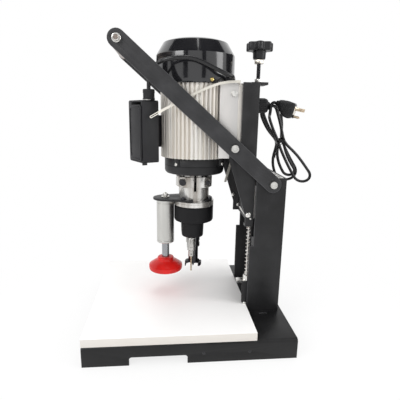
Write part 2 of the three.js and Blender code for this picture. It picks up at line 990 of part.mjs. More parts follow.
function motorMount() {
  const rear = webFront - seatGap;
  const outer = block([motorX, rear], [-mountHalf, mountHalf], [mountBottom, mountTop]);
  const wallRear = rear - mountWallInset;
  const front = block(
    [motorX - cutOver, wallRear - mountSheet],
    [-mountHalf + mountSheet, mountHalf - mountSheet],
    [mountBottom + mountFlange, mountTop - mountFlange],
  );
  const back = block(
    [wallRear, rear + cutOver],
    [-mountHalf + mountSheet, mountHalf - mountSheet],
    [mountBottom + mountFlange, mountTop - mountFlange],
  );
  const barrel = drill(
    'z',
    housingRadius + runGap,
    [motorX, 0],
    [mountBottom - cutOver, mountTop + cutOver],
    wideSides,
  );
  const apron = block(
    [motorX - cutOver, motorX + mountApron],
    [-columnHalf, columnHalf],
    [mountBottom - cutOver, mountTop + cutOver],
  );
  const leadHole = drill(
    'z',
    leadHoleRadius,
    [motorX + leadHoleReach, -leadHoleAside],
    [mountTop - mountFlange - cutOver, mountTop + cutOver],
    midSides,
  );
  return cut(outer, front, back, barrel, apron, leadHole);
}

function motorHousing() {
  const points = [];
  const root = housingRadius - finDepth;
  const finShares = [0, 0.12, 0.38, 0.5];
  const finRadii = [root, housingRadius, housingRadius, root];
  for (let fin = 0; fin < finCount; fin++) {
    finShares.forEach((share, k) => {
      const turn = (2 * Math.PI * (fin + share)) / finCount;
      points.push([finRadii[k] * Math.cos(turn), finRadii[k] * Math.sin(turn)]);
    });
  }
  const body = pushed('xy', outline(points), [housingBottom, housingTop]).translate(motorX, 0, 0);
  const endWall = housingTop - housingEndWall;
  const bore = drill('z', housingBore, [motorX, 0], [housingBottom - cutOver, endWall], wideSides);
  const pocket = drill(
    'z',
    bearingRadius + seatGap,
    [motorX, 0],
    [endWall - cutOver, housingTop - bellWall / 2],
  );
  const hole = drill('z', shaftRadius + runGap, [motorX, 0], [endWall, housingTop + cutOver]);
  return cut(body, bore, pocket, hole);
}

function stator() {
  return turned(ringProfile(coreRadius + coreGap, housingBore - seatGap, coreBottom, coreTop), [motorX, 0]);
}

function bearing(bottom, height) {
  return turned(ringProfile(shaftRadius + seatGap, bearingRadius, bottom, bottom + height), [motorX, 0]);
}

function fanCowl() {
  const foot = housingTop + seatGap;
  const inTop = cowlTop - cowlWall;
  const profile = [
    [cowlFootRadius - cowlWall, foot],
    [cowlFootRadius, foot],
    [cowlRadius, cowlFlareTop],
    [cowlRadius, cowlShoulder],
    [cowlEdgeRadius, cowlEdgeHeight],
    [cowlRimRadius, cowlRimHeight],
    [cowlCrownRadius, cowlCrownHeight],
    [0, cowlTop],
    [0, inTop],
    [cowlCrownRadius - cowlWall, cowlCrownHeight - cowlWall],
    [cowlRimRadius - cowlWall, cowlRimHeight - cowlWall],
    [cowlRadius - cowlWall, cowlShoulder],
    [cowlRadius - cowlWall, cowlFlareTop],
    [cowlFootRadius - cowlWall, foot],
  ];
  const shell = turned(profile, [motorX, 0], wideSides);
  const slots = [];
  for (let k = 0; k < cowlVentCount; k++) {
    const half = cowlVentRadius * Math.sqrt(1 - ((2 * k + 1 - cowlVentCount) / cowlVentCount) ** 2);
    const y = (2 * k + 1 - cowlVentCount) * cowlVentWidth;
    const wide = [y - cowlVentWidth / 2, y + cowlVentWidth / 2];
    slots.push(block(
      [motorX - half, motorX + half],
      wide,
      [cowlRimHeight - 2 * cowlWall, cowlTop + cutOver],
    ));
  }
  const root = housingRadius - cowlWall;
  const ledge = turned(
    ringProfile(root, cowlFootRadius - cowlWall / 2, foot, foot + cowlWall),
    [motorX, 0],
    wideSides,
  );
  return join(cut(shell, ...slots), ledge);
}

function endBell() {
  const seatBottom = bellBottom + bellWall + bellWall / 2;
  const seatTop = seatBottom + bearingHeight;
  const top = housingBottom - seatGap;
  const profile = [
    [shaftRadius + runGap, bellBottom],
    [bellFootRadius, bellBottom],
    [bellRadius, bellBottom + bellChamfer],
    [bellRadius, top],
    [bellRadius - bellWall, top],
    [bellRadius - bellWall, bellBottom + bellChamfer + bellWall],
    [bellFootRadius - bellWall, bellBottom + bellWall],
    [bearingRadius + bearingWall, bellBottom + bellWall],
    [bearingRadius + bearingWall, seatTop],
    [bearingRadius + seatGap, seatTop],
    [bearingRadius + seatGap, seatBottom],
    [shaftRadius + runGap, seatBottom],
    [shaftRadius + runGap, bellBottom],
  ];
  return turned(profile, [motorX, 0], roundSides);
}

function clampHub() {
  const bottom = plateTop + seatGap;
  const top = bellBottom - seatGap;
  const lower = bar('z', hubLowerRadius, [motorX, 0], [bottom, hubShelf + cutOver]);
  const ears = common(
    bar('z', hubRadius, [motorX, 0], [hubShelf, hubShoulder]),
    block(
      [motorX - hubRadius, motorX + hubRadius],
      [-hubHalfDepth - cutOver, hubHalfDepth],
      [hubShelf, hubShoulder],
    ),
  );
  const neck = bar('z', hubNeckRadius, [motorX, 0], [hubShoulder - cutOver, top]);
  const bore = drill('z', hubBore, [motorX, 0], [bottom - cutOver, top + cutOver]);
  const front = [-hubHalfDepth - 2 * cutOver, -hubHalfDepth + hubScrewDepth];
  const screws = [-1, 1].map((side) => {
    const x = motorX + (side * hubScrewSpacing) / 2;
    return drill('y', hubScrewRadius, [x, (hubShelf + hubShoulder) / 2], front, smallSides);
  });
  const slit = block(
    [motorX - hubSlitWidth / 2, motorX + hubSlitWidth / 2],
    [-hubRadius - cutOver, 0],
    [hubSlitBottom, top + cutOver],
  );
  return cut(join(lower, ears, neck), bore, slit, ...screws);
}

function presserPlate() {
  const shape = capsule([motorX, 0], plateSpindleRadius, [presserX, 0], platePresserRadius);
  const body = pushed('xy', shape, [plateBottom, plateTop], tinySides);
  const through = [plateBottom - cutOver, plateTop + cutOver];
  const studHole = drill('z', presserStudRadius + seatGap, [presserX, 0], through, smallSides);
  const relief = block(
    [motorX - plateReliefLeft, motorX + plateReliefRight],
    [-plateSpindleRadius - cutOver, -plateReliefDepth],
    through,
  );
  return cut(body, drill('z', plateBore, [motorX, 0], through, midSides), studHole, relief);
}

function headFlange() {
  return turned(
    ringProfile(flangeBore, flangeRadius, flangeBottom, plateBottom - seatGap),
    [motorX, 0],
    wideSides,
  );
}

function tapered(geometry, share, [bottom, top]) {
  const place = geometry.getAttribute('position');
  for (let i = 0; i < place.count; i++) {
    const rise = (place.getZ(i) - bottom) / (top - bottom);
    const scale = share + (1 - share) * rise;
    place.setX(i, place.getX(i) * scale);
    place.setY(i, place.getY(i) * scale);
  }
  return geometry;
}

function gearCase() {
  const top = flangeBottom - seatGap;
  const upper = turned(
    [
      [0, caseShelf],
      [caseRadius - caseCorner, caseShelf],
      [caseRadius, caseShelf + caseCorner],
      [caseRadius, top],
      [0, top],
    ],
    [motorX, 0],
    wideSides,
  );
  const noseShape = capsule([0, -caseNoseHalfSpan], caseNoseRadius, [0, caseNoseHalfSpan]);
  const noseRise = [caseBottom, caseShelf + cutOver];
  const nose = tapered(pushed('xy', noseShape, noseRise, 7), caseNoseTaperShare, noseRise);
  nose.translate((motorX + sideSpindleX) / 2, 0, 0);
  const floor = caseShelf + caseCorner;
  const reach = Math.hypot(patternOffset, patternSpan / 2) + gearRadius + gearAddendum + runGap;
  const centres = [[motorX, 0], [sideSpindleX, -patternSpan / 2], [sideSpindleX, patternSpan / 2]];
  const room = drill('z', reach, [motorX, 0], [floor, top + cutOver]);
  const bores = centres.map((centre) => drill(
    'z',
    spindleRadius + runGap,
    centre,
    [caseBottom - cutOver, floor + cutOver],
    midSides,
  ));
  return cut(join(upper, nose), room, ...bores);
}

function presserTube() {
  const top = plateBottom - seatGap;
  const bore = presserTubeRadius - presserTubeWall;
  const centre = [presserX, 0];
  const stud = bar(
    'z',
    presserStudRadius,
    centre,
    [top - presserTubeEnd, plateTop + presserStudHeight],
    smallSides,
  );
  const tube = bar('z', presserTubeRadius, centre, [presserTubeBottom, top]);
  const room = drill('z', bore, centre, [presserTubeBottom + presserTubeEnd, top - presserTubeEnd]);
  const mouth = drill(
    'z',
    presserRodRadius + runGap,
    centre,
    [presserTubeBottom - cutOver, presserTubeBottom + 2 * presserTubeEnd],
  );
  return cut(join(tube, stud), room, mouth);
}

// Places in the capacitor box are given outwards from the motor's axis and along the box's face.
const boxTurn = Math.PI + boxAngle;
const onBox = (geometry) => geometry.rotateZ(boxTurn).translate(motorX, 0, 0);
const boxBack = boxReach - boxLidDepth - boxDepth;
const boxFront = boxReach - boxLidDepth;
const boxSides = [boxShift - boxWidth / 2, boxShift + boxWidth / 2];

function capacitorBox() {
  const face = roundedBox(boxSides[0], boxSides[1], boxBottom, boxTop, boxCorner);
  const body = pushed('yz', face, [boxBack, boxFront], 3);
  const hollow = block(
    [boxBack + boxWall, boxFront + cutOver],
    [boxSides[0] + lidFarInset + boxWall, boxSides[1] - lidNearInset - boxWall],
    [boxBottom + boxWall, boxTop - boxWall],
  );
  const middle = (boxBottom + boxTop) / 2;
  const saddle = block(
    [housingBore, boxBack + boxWall / 2],
    [saddleShift - saddleWidth / 2, saddleShift + saddleWidth / 2],
    [middle - saddleHeight / 2, middle + saddleHeight / 2],
  );
  const barrel = drill('z', housingRadius + seatGap, [0, 0], [boxBottom, boxTop], wideSides);
  const switchMouth = block(
    [switchMiddle - switchWidth / 2 - runGap, switchMiddle + switchWidth / 2 + runGap],
    [boxSides[0] - cutOver, boxSides[0] + lidFarInset + boxWall + cutOver],
    [switchZ - switchHeight / 2 - runGap, switchZ + switchHeight / 2 + runGap],
  );
  return onBox(cut(join(body, saddle), hollow, barrel, switchMouth));
}

const switchMiddle = (boxBack + boxFront) / 2;
const switchZ = boxBottom + switchLift;

function boxLid() {
  const sides = [boxSides[0] + lidFarInset, boxSides[1] - lidNearInset];
  const face = roundedBox(...sides, boxBottom + lidBottomStep, boxTop - lidTopStep, boxCorner);
  return onBox(pushed('yz', face, [boxFront + seatGap, boxReach], 3));
}

function capacitor() {
  const bottom = boxBottom + boxWall + seatGap;
  const top = boxBottom + boxWall + capacitorLift + capacitorLength;
  return onBox(bar('z', capacitorRadius, [switchMiddle, boxShift], [bottom, top], midSides));
}

function powerSwitch() {
  const rocker = new THREE.Shape();
  const face = boxSides[0] - switchProud;
  rocker.moveTo(boxSides[0] + switchDepth, switchZ - switchHeight / 2 + switchProud);
  rocker.lineTo(boxSides[0] + switchDepth, switchZ + switchHeight / 2 - switchProud);
  rocker.lineTo(boxSides[0] - seatGap, switchZ + switchHeight / 2);
  rocker.lineTo(boxSides[0] - switchProud / 2, switchZ);
  rocker.lineTo(face, switchZ - switchHeight / 2);
  const half = switchWidth / 2;
  const body = new THREE.ExtrudeGeometry(rocker, { depth: switchWidth, bevelEnabled: false });
  body.applyMatrix4(new THREE.Matrix4().makeBasis(axisY, axisZ, axisX)).translate(
    switchMiddle - half,
    0,
    0,
  );
  return onBox(body);
}

function boxGland() {
  const foot = boxTop + seatGap;
  const capTop = foot + boxGlandHeight + boxGlandCapHeight;
  const centre = [boxGlandReach, boxGlandShift];
  const body = bar('z', boxGlandRadius, centre, [foot, foot + boxGlandHeight], 6);
  const cap = bar('z', boxGlandCapRadius, centre, [foot + boxGlandHeight / 2, capTop], smallSides);
  return onBox(join(body, cap));
}

function mainsGland() {
  const centre = [glandY, glandHeight];
  const rear = carriageRear + seatGap;
  const thread = bar(
    'x',
    glandThreadRadius,
    centre,
    [webFront - glandNutLength, carriageRear + glandBodyLength / 2],
    midSides,
  );
  const nut = bar('x', glandRadius, centre, [webFront - seatGap - glandNutLength, webFront - seatGap], 6);
  const body = bar('x', glandRadius, centre, [rear, rear + glandBodyLength], smallSides);
  const domeEnd = cableExit.x - seatGap;
  const capEnd = cableExit.x - glandMouthLength;
  const dome = bar('x', glandDomeRadius, centre, [rear + glandBodyLength - cutOver, capEnd], midSides);
  const mouth = bar('x', glandMouthRadius, centre, [capEnd - cutOver, domeEnd], smallSides);
  return join(thread, nut, body, dome, mouth);
}

function motorStrap() {
  const y = -(housingRadius + strapLift);
  const span = [y - strapThickness, y];
  const route = laid(motorX, strapRoute);
  const last = route.length - 1;
  const [upper, lower] = [[], []];
  route.forEach(([x, z], i) => {
    const [from, to] = [route[Math.max(i - 1, 0)], route[Math.min(i + 1, last)]];
    const turn = Math.atan2(to[1] - from[1], to[0] - from[0]);
    const [across, up] = [(-Math.sin(turn) * strapWidth) / 2, (Math.cos(turn) * strapWidth) / 2];
    upper.push([x + across, z + up]);
    lower.unshift([x - across, z - up]);
  });
  const band = pushed('xz', outline([...upper, ...lower]), span);
  const [left, next] = route;
  const tip = pushed('xz', capsule(left, strapWidth / 2, next), span, 4);
  const slope = Math.atan2(next[1] - left[1], next[0] - left[0]);
  const slotEnd = [
    left[0] + strapSlotLength * Math.cos(slope),
    left[1] + strapSlotLength * Math.sin(slope),
  ];
  const slot = pushed(
    'xz',
    capsule(left, strapSlotWidth / 2, slotEnd),
    [span[0] - cutOver, span[1] + cutOver],
    3,
  );
  const right = route[last][0];
  const hook = block(
    [right - strapWidth, right],
    [span[0], span[0] + strapHookLength],
    [mountTop + seatGap, mountTop + seatGap + strapThickness],
  );
  return join(cut(join(band, tip), slot), hook);
}

// Spindles
function gearShape(phase) {
  const points = [];
  const [tip, root] = [gearRadius + gearAddendum, gearRadius - gearDedendum];
  const toothShares = [-gearRootShare, -gearTipShare, gearTipShare, gearRootShare];
  const radii = [root, tip, tip, root];
  for (let tooth = 0; tooth < gearTeeth; tooth++) {
    toothShares.forEach((share, k) => {
      const turn = phase + (2 * Math.PI * (tooth + share)) / gearTeeth;
      points.push([radii[k] * Math.cos(turn), radii[k] * Math.sin(turn)]);
    });
  }
  return outline(points);
}

function gear([x, y], phase) {
  return pushed('xy', gearShape(phase), [gearBottom, gearBottom + gearHeight]).translate(x, y, 0);
}

// The phase that puts a gap of the side gear on a tooth of the centre gear.
function meshedPhase(side) {
  const heading = Math.atan2((side * patternSpan) / 2, -patternOffset);
  return 2 * heading + Math.PI + Math.PI / gearTeeth;
}

function rotor() {
  const profile = [
    [0, flangeTop + seatGap],
    [shaftRadius, flangeTop + seatGap],
    [shaftRadius, coreBottom],
    [coreRadius, coreBottom],
    [coreRadius, coreTop],
    [shaftRadius, coreTop],
    [shaftRadius, fanBottom - seatGap],
    [shaftEndRadius, fanBottom - seatGap],
    [shaftEndRadius, shaftTop],
    [0, shaftTop],
  ];
  return turned(profile, [motorX, 0]);
}

function coolingFan() {
  const top = fanBottom + fanHubHeight;
  const disc = bar('z', fanRadius, [motorX, 0], [fanBottom, fanBottom + fanBladeThickness], wideSides);
  const hub = bar('z', fanHubRadius, [motorX, 0], [fanBottom, top], midSides);
  const blades = [];
  for (let k = 0; k < fanBladeCount; k++) {
    const blade = block(
      [fanHubRadius - cutOver, fanRadius],
      [-fanBladeThickness / 2, fanBladeThickness / 2],
      [fanBottom, top],
    );
    blades.push(blade.rotateZ((2 * Math.PI * k) / fanBladeCount).translate(motorX, 0, 0));
  }
  const bore = drill(
    'z',
    shaftEndRadius + seatGap,
    [motorX, 0],
    [fanBottom - cutOver, top + cutOver],
    midSides,
  );
  return cut(join(disc, hub, ...blades), bore);
}

function centreSpindle() {
  const centre = [motorX, 0];
  const shaft = bar('z', spindleRadius, centre, [chuckBottom + cutOver, flangeTop], midSides);
  const chuck = bar('z', chuckRadius, centre, [chuckBottom, caseBottom - seatGap]);
  const socket = drill(
    'z',
    hingeBitTang + seatGap,
    centre,
    [chuckBottom - cutOver, chuckBottom + hingeBitTangLength + seatGap],
    midSides,
  );
  return cut(join(shaft, gear(centre, 0), chuck), socket);
}

function sideSpindle(side) {
  const centre = [sideSpindleX, (side * patternSpan) / 2];
  const shaft = bar(
    'z',
    spindleRadius,
    centre,
    [holderBottom + dowelBitGrip + cutOver, spindleTop],
    midSides,
  );
  const holder = bar('z', holderRadius, centre, [holderCollar, caseBottom - seatGap], midSides);
  const nose = bar('z', holderNoseRadius, centre, [holderBottom, holderCollar + cutOver], midSides);
  const socket = drill(
    'z',
    dowelBitRadius + seatGap,
    centre,
    [holderBottom - cutOver, holderBottom + dowelBitGrip],
    tinySides,
  );
  return cut(join(shaft, gear(centre, meshedPhase(side)), holder, nose), socket);
}

function boringBit() {
  const centre = [motorX, 0];
  const shankTop = chuckBottom - seatGap;
  const tang = bar(
    'z',
    hingeBitTang,
    centre,
    [shankTop - cutOver, chuckBottom + hingeBitTangLength],
    midSides,
  );
  const shank = bar('z', hingeBitShank, centre, [wingBottom, shankTop], midSides);
  const span = [wingBottom - spurDepth, wingTop];
  const swept = bar('z', hingeBitRadius, centre, span, wideSides);
  const wings = common(
    swept,
    block(
      [-hingeBitRadius, hingeBitRadius],
      [-wingWidth / 2, wingWidth / 2],
      span,
    ).rotateZ(wingTurn).translate(motorX, 0, 0),
  );
  const reach = hingeBitRadius - spurLength;
  const relief = block(
    [-reach, reach],
    [-wingWidth, wingWidth],
    [wingBottom - spurDepth - cutOver, wingBottom],
  );
  const point = turned(
    [
      [0, bitTip],
      [bitPointRadius, wingBottom - spurDepth / 2],
      [bitPointRadius, wingBottom + cutOver],
      [0, wingBottom + cutOver],
    ],
    centre,
    tinySides,
  );
  const cutter = cut(join(wings, shank), relief.rotateZ(wingTurn).translate(motorX, 0, 0));
  return join(cutter, tang, point);
}

function dowelBit(side) {
  const profile = [
    [0, bitTip],
    [dowelBitRadius, bitTip + dowelBitRadius],
    [dowelBitRadius, holderBottom + dowelBitGrip - seatGap],
    [0, holderBottom + dowelBitGrip - seatGap],
  ];
  return turned(profile, [sideSpindleX, (side * patternSpan) / 2], tinySides);
}

// Presser rod, its foot and its spring
const socketBottom = footBottom + footTopHeight - footSocketDepth;

function presserRod() {
  const top = presserPistonBottom + presserPistonHeight;
  const piston = presserTubeRadius - presserTubeWall - runGap;
  const rod = bar('z', presserRodRadius, [presserX, 0], [socketBottom + seatGap, top]);
  return join(rod, bar('z', piston, [presserX, 0], [presserPistonBottom, top]));
}

function presserFoot() {
  const top = footBottom + footTopHeight;
  const socket = presserRodRadius + seatGap;
  const profile = [
    [0, footBottom],
    [footSoleRadius, footBottom],
    [footRadius - seatGap, footBottom + footEdgeLow],
    [footRadius, footBottom + footEdgeHigh],
    [
      (footRadius + footShoulderRadius) / 2,
      footBottom + (footEdgeHigh + footShoulderHeight + footEdgeLow) / 2,
    ],
    [footShoulderRadius, footBottom + footShoulderHeight],
    [footHubRadius, top],
    [socket, top],
    [socket, socketBottom],
    [0, socketBottom],
  ];
  return turned(profile, [presserX, 0], wideSides);
}

function presserSpring() {
  const bottom = presserPistonBottom + presserPistonHeight + seatGap;
  const top = plateBottom - seatGap - presserTubeEnd - seatGap;
  return turned(ringProfile(presserSpringInner, presserSpringOuter, bottom, top), [presserX, 0], midSides);
}

// Depth stop
function depthRod() {
  const bottom = columnTop + stroke + seatGap;
  return bar('z', depthRodRadius, [depthRodX, 0], [bottom, depthRodTop], midSides);
}

function jamNut() {
  const span = [jamNutBottom, jamNutBottom + jamNutHeight];
  const bore = drill(
    'z',
    depthRodRadius + seatGap,
    [depthRodX, 0],
    [span[0] - cutOver, span[1] + cutOver],
    midSides,
  );
  return cut(hexNut(jamNutRadius, [depthRodX, 0], span), bore);
}

function starKnob() {
  const bottom = jamNutBottom + jamNutHeight + seatGap;
  const starBottom = bottom + starHubHeight;
  const steps = 6 * starLobes;
  const points = [];
  for (let i = 0; i < steps; i++) {
    const turn = (2 * Math.PI * i) / steps;
    const radius = starValley + (starRadius - starValley) * (0.5 + 0.5 * Math.cos(starLobes * turn));
    points.push([radius * Math.cos(turn), radius * Math.sin(turn)]);
  }
  const star = pushed(
    'xy',
    outline(points),
    [starBottom, starBottom + starHeight],
  ).translate(depthRodX, 0, 0);
  const hub = bar('z', starHubRadius, [depthRodX, 0], [bottom, starBottom + cutOver], midSides);
  const bore = drill(
    'z',
    depthRodRadius + seatGap,
    [depthRodX, 0],
    [bottom - cutOver, depthRodTop + seatGap],
    midSides,
  );
  return cut(join(star, hub), bore);
}

// Lever
function leverArm(side) {
  const shape = capsule([pivotX, pivotZ], armWidth / 2, [handleX, handleZ]);
  const span = mirrorY(side, [armInner, armOuter]);
  const through = [span[0] - cutOver, span[1] + cutOver];
  const pivotHole = drill('y', pivotPinRadius + seatGap, [pivotX, pivotZ], through, smallSides);
  const linkHole = drill('y', linkPinRadius + seatGap, [linkX, linkZ], through, smallSides);
  const studHole = drill('y', handleStudRadius + seatGap, [handleX, handleZ], through, smallSides);
  return cut(pushed('xz', shape, span, 6), pivotHole, linkHole, studHole);
}

function linkBolt(side) {
  const centre = [linkX, linkZ];
  const head = armOuter + seatGap;
  const pin = bar('y', linkPinRadius, centre, mirrorY(side, [carriageInner + seatGap, head]), smallSides);
  const cap = bar('y', boltHeadRadius, centre, mirrorY(side, [head, head + boltHeadHeight]), smallSides);
  const spacer = bar(
    'y',
    linkSpacerRadius,
    centre,
    mirrorY(side, [carriageHalf + seatGap, armInner - seatGap]),
    smallSides,
  );
  return join(pin, cap, spacer);
}

function handleBar() {
  const half = armInner - seatGap;
  const reach = armInner + handleStudLength;
  const body = bar('y', handleRadius, [handleX, handleZ], [-half, half], midSides);
  return join(body, bar('y', handleStudRadius, [handleX, handleZ], [-reach, reach], smallSides));
}

function handleNut(side) {
  const from = armOuter + seatGap;
  const nut = bar(
    'y',
    handleNutRadius,
    [handleX, handleZ],
    mirrorY(side, [from, from + handleNutHeight]),
    6,
  );
  const bore = drill(
    'y',
    handleStudRadius + seatGap,
    [handleX, handleZ],
    mirrorY(side, [from - cutOver, from + handleNutHeight + cutOver]),
    smallSides,
  );
  return cut(nut, bore);
}

// Mains cord hank

// Each loop hangs a little differently below its tied waist.
const hankLowerShares = [0.92, 0.82, 1.06];
const hankLowerHalfShares = [1, 0.52, 0.72];
const hankUpperHalfShares = [1.08, 0.76, 0.6, 0.28];
const hankLowerFanShares = [-0.64, -0.48, 0.52];
const hankUpperFanShare = -0.16;
const hankDriftShare = 0.56;
const hankReach = 100;
const hankAlong = new THREE.Vector3(Math.sin(hankLean), 0, -Math.cos(hankLean));
const hankAcross = new THREE.Vector3(Math.cos(hankLean), 0, Math.sin(hankLean));

function hankPoint(turn) {
  const loop = Math.min(hankLoops - 1, Math.floor(turn / (2 * Math.PI)));
  const angle = turn - 2 * Math.PI * loop;
  const lower = Math.cos(angle) < 0;
  const level = Math.abs(Math.cos(angle));
  const reach = lower ? hankReach * hankLowerShares[loop] : hankUpper;
  const fold = angle > Math.PI ? loop + 1 : loop;
  const half = hankLobe * (lower ? hankLowerHalfShares[loop] : hankUpperHalfShares[fold]);
  const bulge = (level ** 2 * (1 + hankBulgeShare ** 2)) / (level ** 2 + hankBulgeShare ** 2);
  const round = Math.max(0, (level * reach - reach + half) / half);
  const width = (hankWaist + (half - hankWaist) * bulge) * Math.sqrt(Math.max(0, 1 - round ** 2));
  const lowerFan = hankLowerFanShares[loop] * bulge + hankDriftShare * level ** 2;
  const fan = hankLobe * (lower ? lowerFan : hankUpperFanShare * bulge);
  const across = fan + Math.sign(Math.sin(angle)) * width;
  const climb = THREE.MathUtils.smoothstep(angle, 1.5 * Math.PI, 1.95 * Math.PI);
  const layer = loop + climb - (hankLoops - 1) / 2;
  const point = new THREE.Vector3(hankWaistX, hankWaistY - hankPitch * layer, hankWaistZ);
  return point.addScaledVector(hankAlong, -reach * Math.cos(angle)).addScaledVector(hankAcross, across);
}

// The straight run before the first loop, where the cord from the gland comes in.
function hankEntry(reach) {
  const start = hankPoint(hankStart);
  const heading = hankPoint(hankStart + hankNudge).sub(start).normalize();
  return start.addScaledVector(heading, -reach);
}

function hankLine(stepsPerLoop) {
  const last = 2 * Math.PI * hankLoops - hankEnd;
  const count = Math.round(((last - hankStart) / (2 * Math.PI)) * stepsPerLoop);
  const points = [];
  for (let i = 0; i <= count; i++) points.push(hankPoint(hankStart + ((last - hankStart) * i) / count));
  const places = laid(carriageRear, hankTailRoute).map((place) => new THREE.Vector3(...place));
  const ends = [...points.splice(-2), ...places];
  const tail = new THREE.CatmullRomCurve3(ends);
  const tailSteps = (ends.length - 1) * Math.round(stepsPerLoop / 8);
  return [hankEntry(2 * cordRadius), ...points, ...tail.getPoints(tailSteps)];
}

function cordHank() {
  const line = hankLine(hankSteps);
  const fine = new THREE.CatmullRomCurve3(line).getSpacedPoints(hankLoops * 10 * hankSteps);
  const gap = leastGap(fine, cordRadius, hankSteps / 2);
  console.log(`cord_hank: least gap to itself ${gap.toFixed(2)} mm`);
  return wound(line, cordRadius, hankSides);
}

function hankTie() {
  const half = hankWaist + cordRadius + tieSlack;
  const high = (hankPitch * (hankLoops - 1)) / 2 + cordRadius + tieSlack;
  const reach = [half + tieWall, high + tieWall];
  const outer = roundedBox(-reach[0], reach[0], -reach[1], reach[1], cordRadius + tieWall);
  outer.holes.push(roundedBox(-half, half, -high, high, cordRadius));
  const ring = pushed('xy', outer, [-tieLength / 2, tieLength / 2], 3);
  const lean = new THREE.Matrix4().makeBasis(hankAcross, axisY, hankAcross.clone().cross(axisY));
  return ring.applyMatrix4(lean).translate(hankWaistX, hankWaistY, hankWaistZ);
}

function mainsPlug() {
  const back = plugNeckX + plugNeckLength;
  const face = back + plugBodyLength;
  const half = plugBodyWidth / 2;
  const shape = outline([
    [back, plugHeight - plugBackHalf],
    [face - plugDrop, plugHeight - plugDrop + plugCorner],
    [face - 2 * plugCorner, plugHeight - plugDrop],
    [face, plugHeight - plugDrop + plugCorner],
    [face, plugHeight + plugFaceRise],
    [(back + face) / 2, plugHeight + plugRise],
    [back, plugHeight + plugBackHalf],
  ]);
  const body = pushed('xz', shape, [plugY - half, plugY + half]);
  const neck = bar('x', plugNeckRadius, [plugY, plugHeight], [plugNeckX, back + cutOver], smallSides);
  const bladeLevel = plugHeight - plugBladeDrop;
  const blades = [-1, 1].map((side) => {
    const y = plugY + (side * plugBladeSpacing) / 2;
    return block(
      [face - cutOver, face + plugBladeLength],
      [y - plugBladeThickness / 2, y + plugBladeThickness / 2],
      [bladeLevel - plugBladeWidth / 2, bladeLevel + plugBladeWidth / 2],
    );
  });
  const pin = bar(
    'x',
    plugPinRadius,
    [plugY, plugHeight - plugPinDrop],
    [face - cutOver, face + plugPinLength],
    tinySides,
  );
  const plug = join(body, neck, ...blades, pin).translate(-plugNeckX, -plugY, -plugHeight);
  return plug.rotateY(plugPitch).rotateZ(-plugYaw).translate(plugNeckX, plugY, plugHeight);
}

// The stand
add('base_channel', baseChannel(), blackPaint());
add('work_board', workBoard(), whiteBoard());
add('column_channel', columnChannel(), blackPaint());
add('stop_plate', stopPlate(), zincSteel());
add('guide_rod_near', guideRod(-1), satinSteel());
add('guide_rod_far', guideRod(1), satinSteel());
add('gas_spring_tube', gasSpringTube(), blackGloss());
add('spring_bracket', springBracket(), zincSteel());
add('spring_rod', springRod(), zincSteel());
add('return_spring', returnSpring(), zincSteel());
add('hinge_bolt_near', hingeBolt(-1), zincSteel());
add('hinge_bolt_far', hingeBolt(1), zincSteel());

// The carriage, which slides down the guide rods
const carriage = new THREE.Group();
machine.add(carriage);
add('carriage_channel', carriageChannel(), blackPaint(), carriage);
add('guide_block', guideBlock(), rawAluminium(), carriage);
add('gas_spring_rod', gasSpringRod(), satinSteel(), carriage);
add('motor_mount', motorMount(), rawAluminium(), carriage);
add('motor_housing', motorHousing(), rawAluminium(), carriage);
add('stator', stator(), copperWire(), carriage);
add(
  'upper_bearing',
  bearing(housingTop - housingEndWall + seatGap, housingEndWall - bellWall),
  satinSteel(),
  carriage,
);
add(
  'lower_bearing',
  bearing(bellBottom + 1.5 * bellWall + seatGap, bearingHeight - seatGap),
  satinSteel(),
  carriage,
);
add('fan_cowl', fanCowl(), blackGloss(), carriage);
add('end_bell', endBell(), blackPaint(), carriage);
add('clamp_hub', clampHub(), rawAluminium(), carriage);
add('presser_plate', presserPlate(), blackPaint(), carriage);
add('head_flange', headFlange(), satinSteel(), carriage);
add('gear_case', gearCase(), blackPlastic(), carriage);
add('presser_tube', presserTube(), rawAluminium(), carriage);
add('capacitor_box', capacitorBox(), blackPlastic(), carriage);
add('box_lid', boxLid(), blackPlastic(), carriage);
add('capacitor', capacitor(), whiteNylon(), carriage);
add('box_gland', boxGland(), blackPlastic(), carriage);
add('motor_lead', routed(laid(motorX, motorLeadRoute), leadRadius, 30), cordRubber(), carriage);
add('mains_gland', mainsGland(), blackPlastic(), carriage);
add('motor_strap', motorStrap(), whiteNylon(), carriage);
add('power_switch', powerSwitch(), redPlastic(), carriage);

// Spindles, geared together in the case
const spindles = new THREE.Group();
carriage.add(spindles);
add('rotor', rotor(), satinSteel(), spindles);
add('cooling_fan', coolingFan(), blackPlastic(), spindles);
add('centre_spindle', centreSpindle(), darkSteel(), spindles);
add('boring_bit', boringBit(), darkSteel(), spindles);
add('side_spindle_near', sideSpindle(-1), satinSteel(), spindles);
add('side_spindle_far', sideSpindle(1), satinSteel(), spindles);
add('dowel_bit_near', dowelBit(-1), satinSteel(), spindles);
add('dowel_bit_far', dowelBit(1), satinSteel(), spindles);

// The presser
add('presser_rod', presserRod(), satinSteel(), carriage);
add('presser_foot', presserFoot(), redPlastic(), carriage);
add('presser_spring', presserSpring(), zincSteel(), carriage);

// The depth stop
add('depth_rod', depthRod(), darkSteel(), carriage);
add('jam_nut', jamNut(), zincSteel(), carriage);
add('star_knob', starKnob(), blackPlastic(), carriage);

// The lever
add('lever_arm_near', leverArm(-1), blackPaint());
add('lever_arm_far', leverArm(1), blackPaint());
add('handle_bar', handleBar(), satinSteel());
add('handle_nut_near', handleNut(-1), zincSteel());
add('handle_nut_far', handleNut(1), zincSteel());
add('link_bolt_near', linkBolt(-1), zincSteel());
add('link_bolt_far', linkBolt(1), zincSteel());

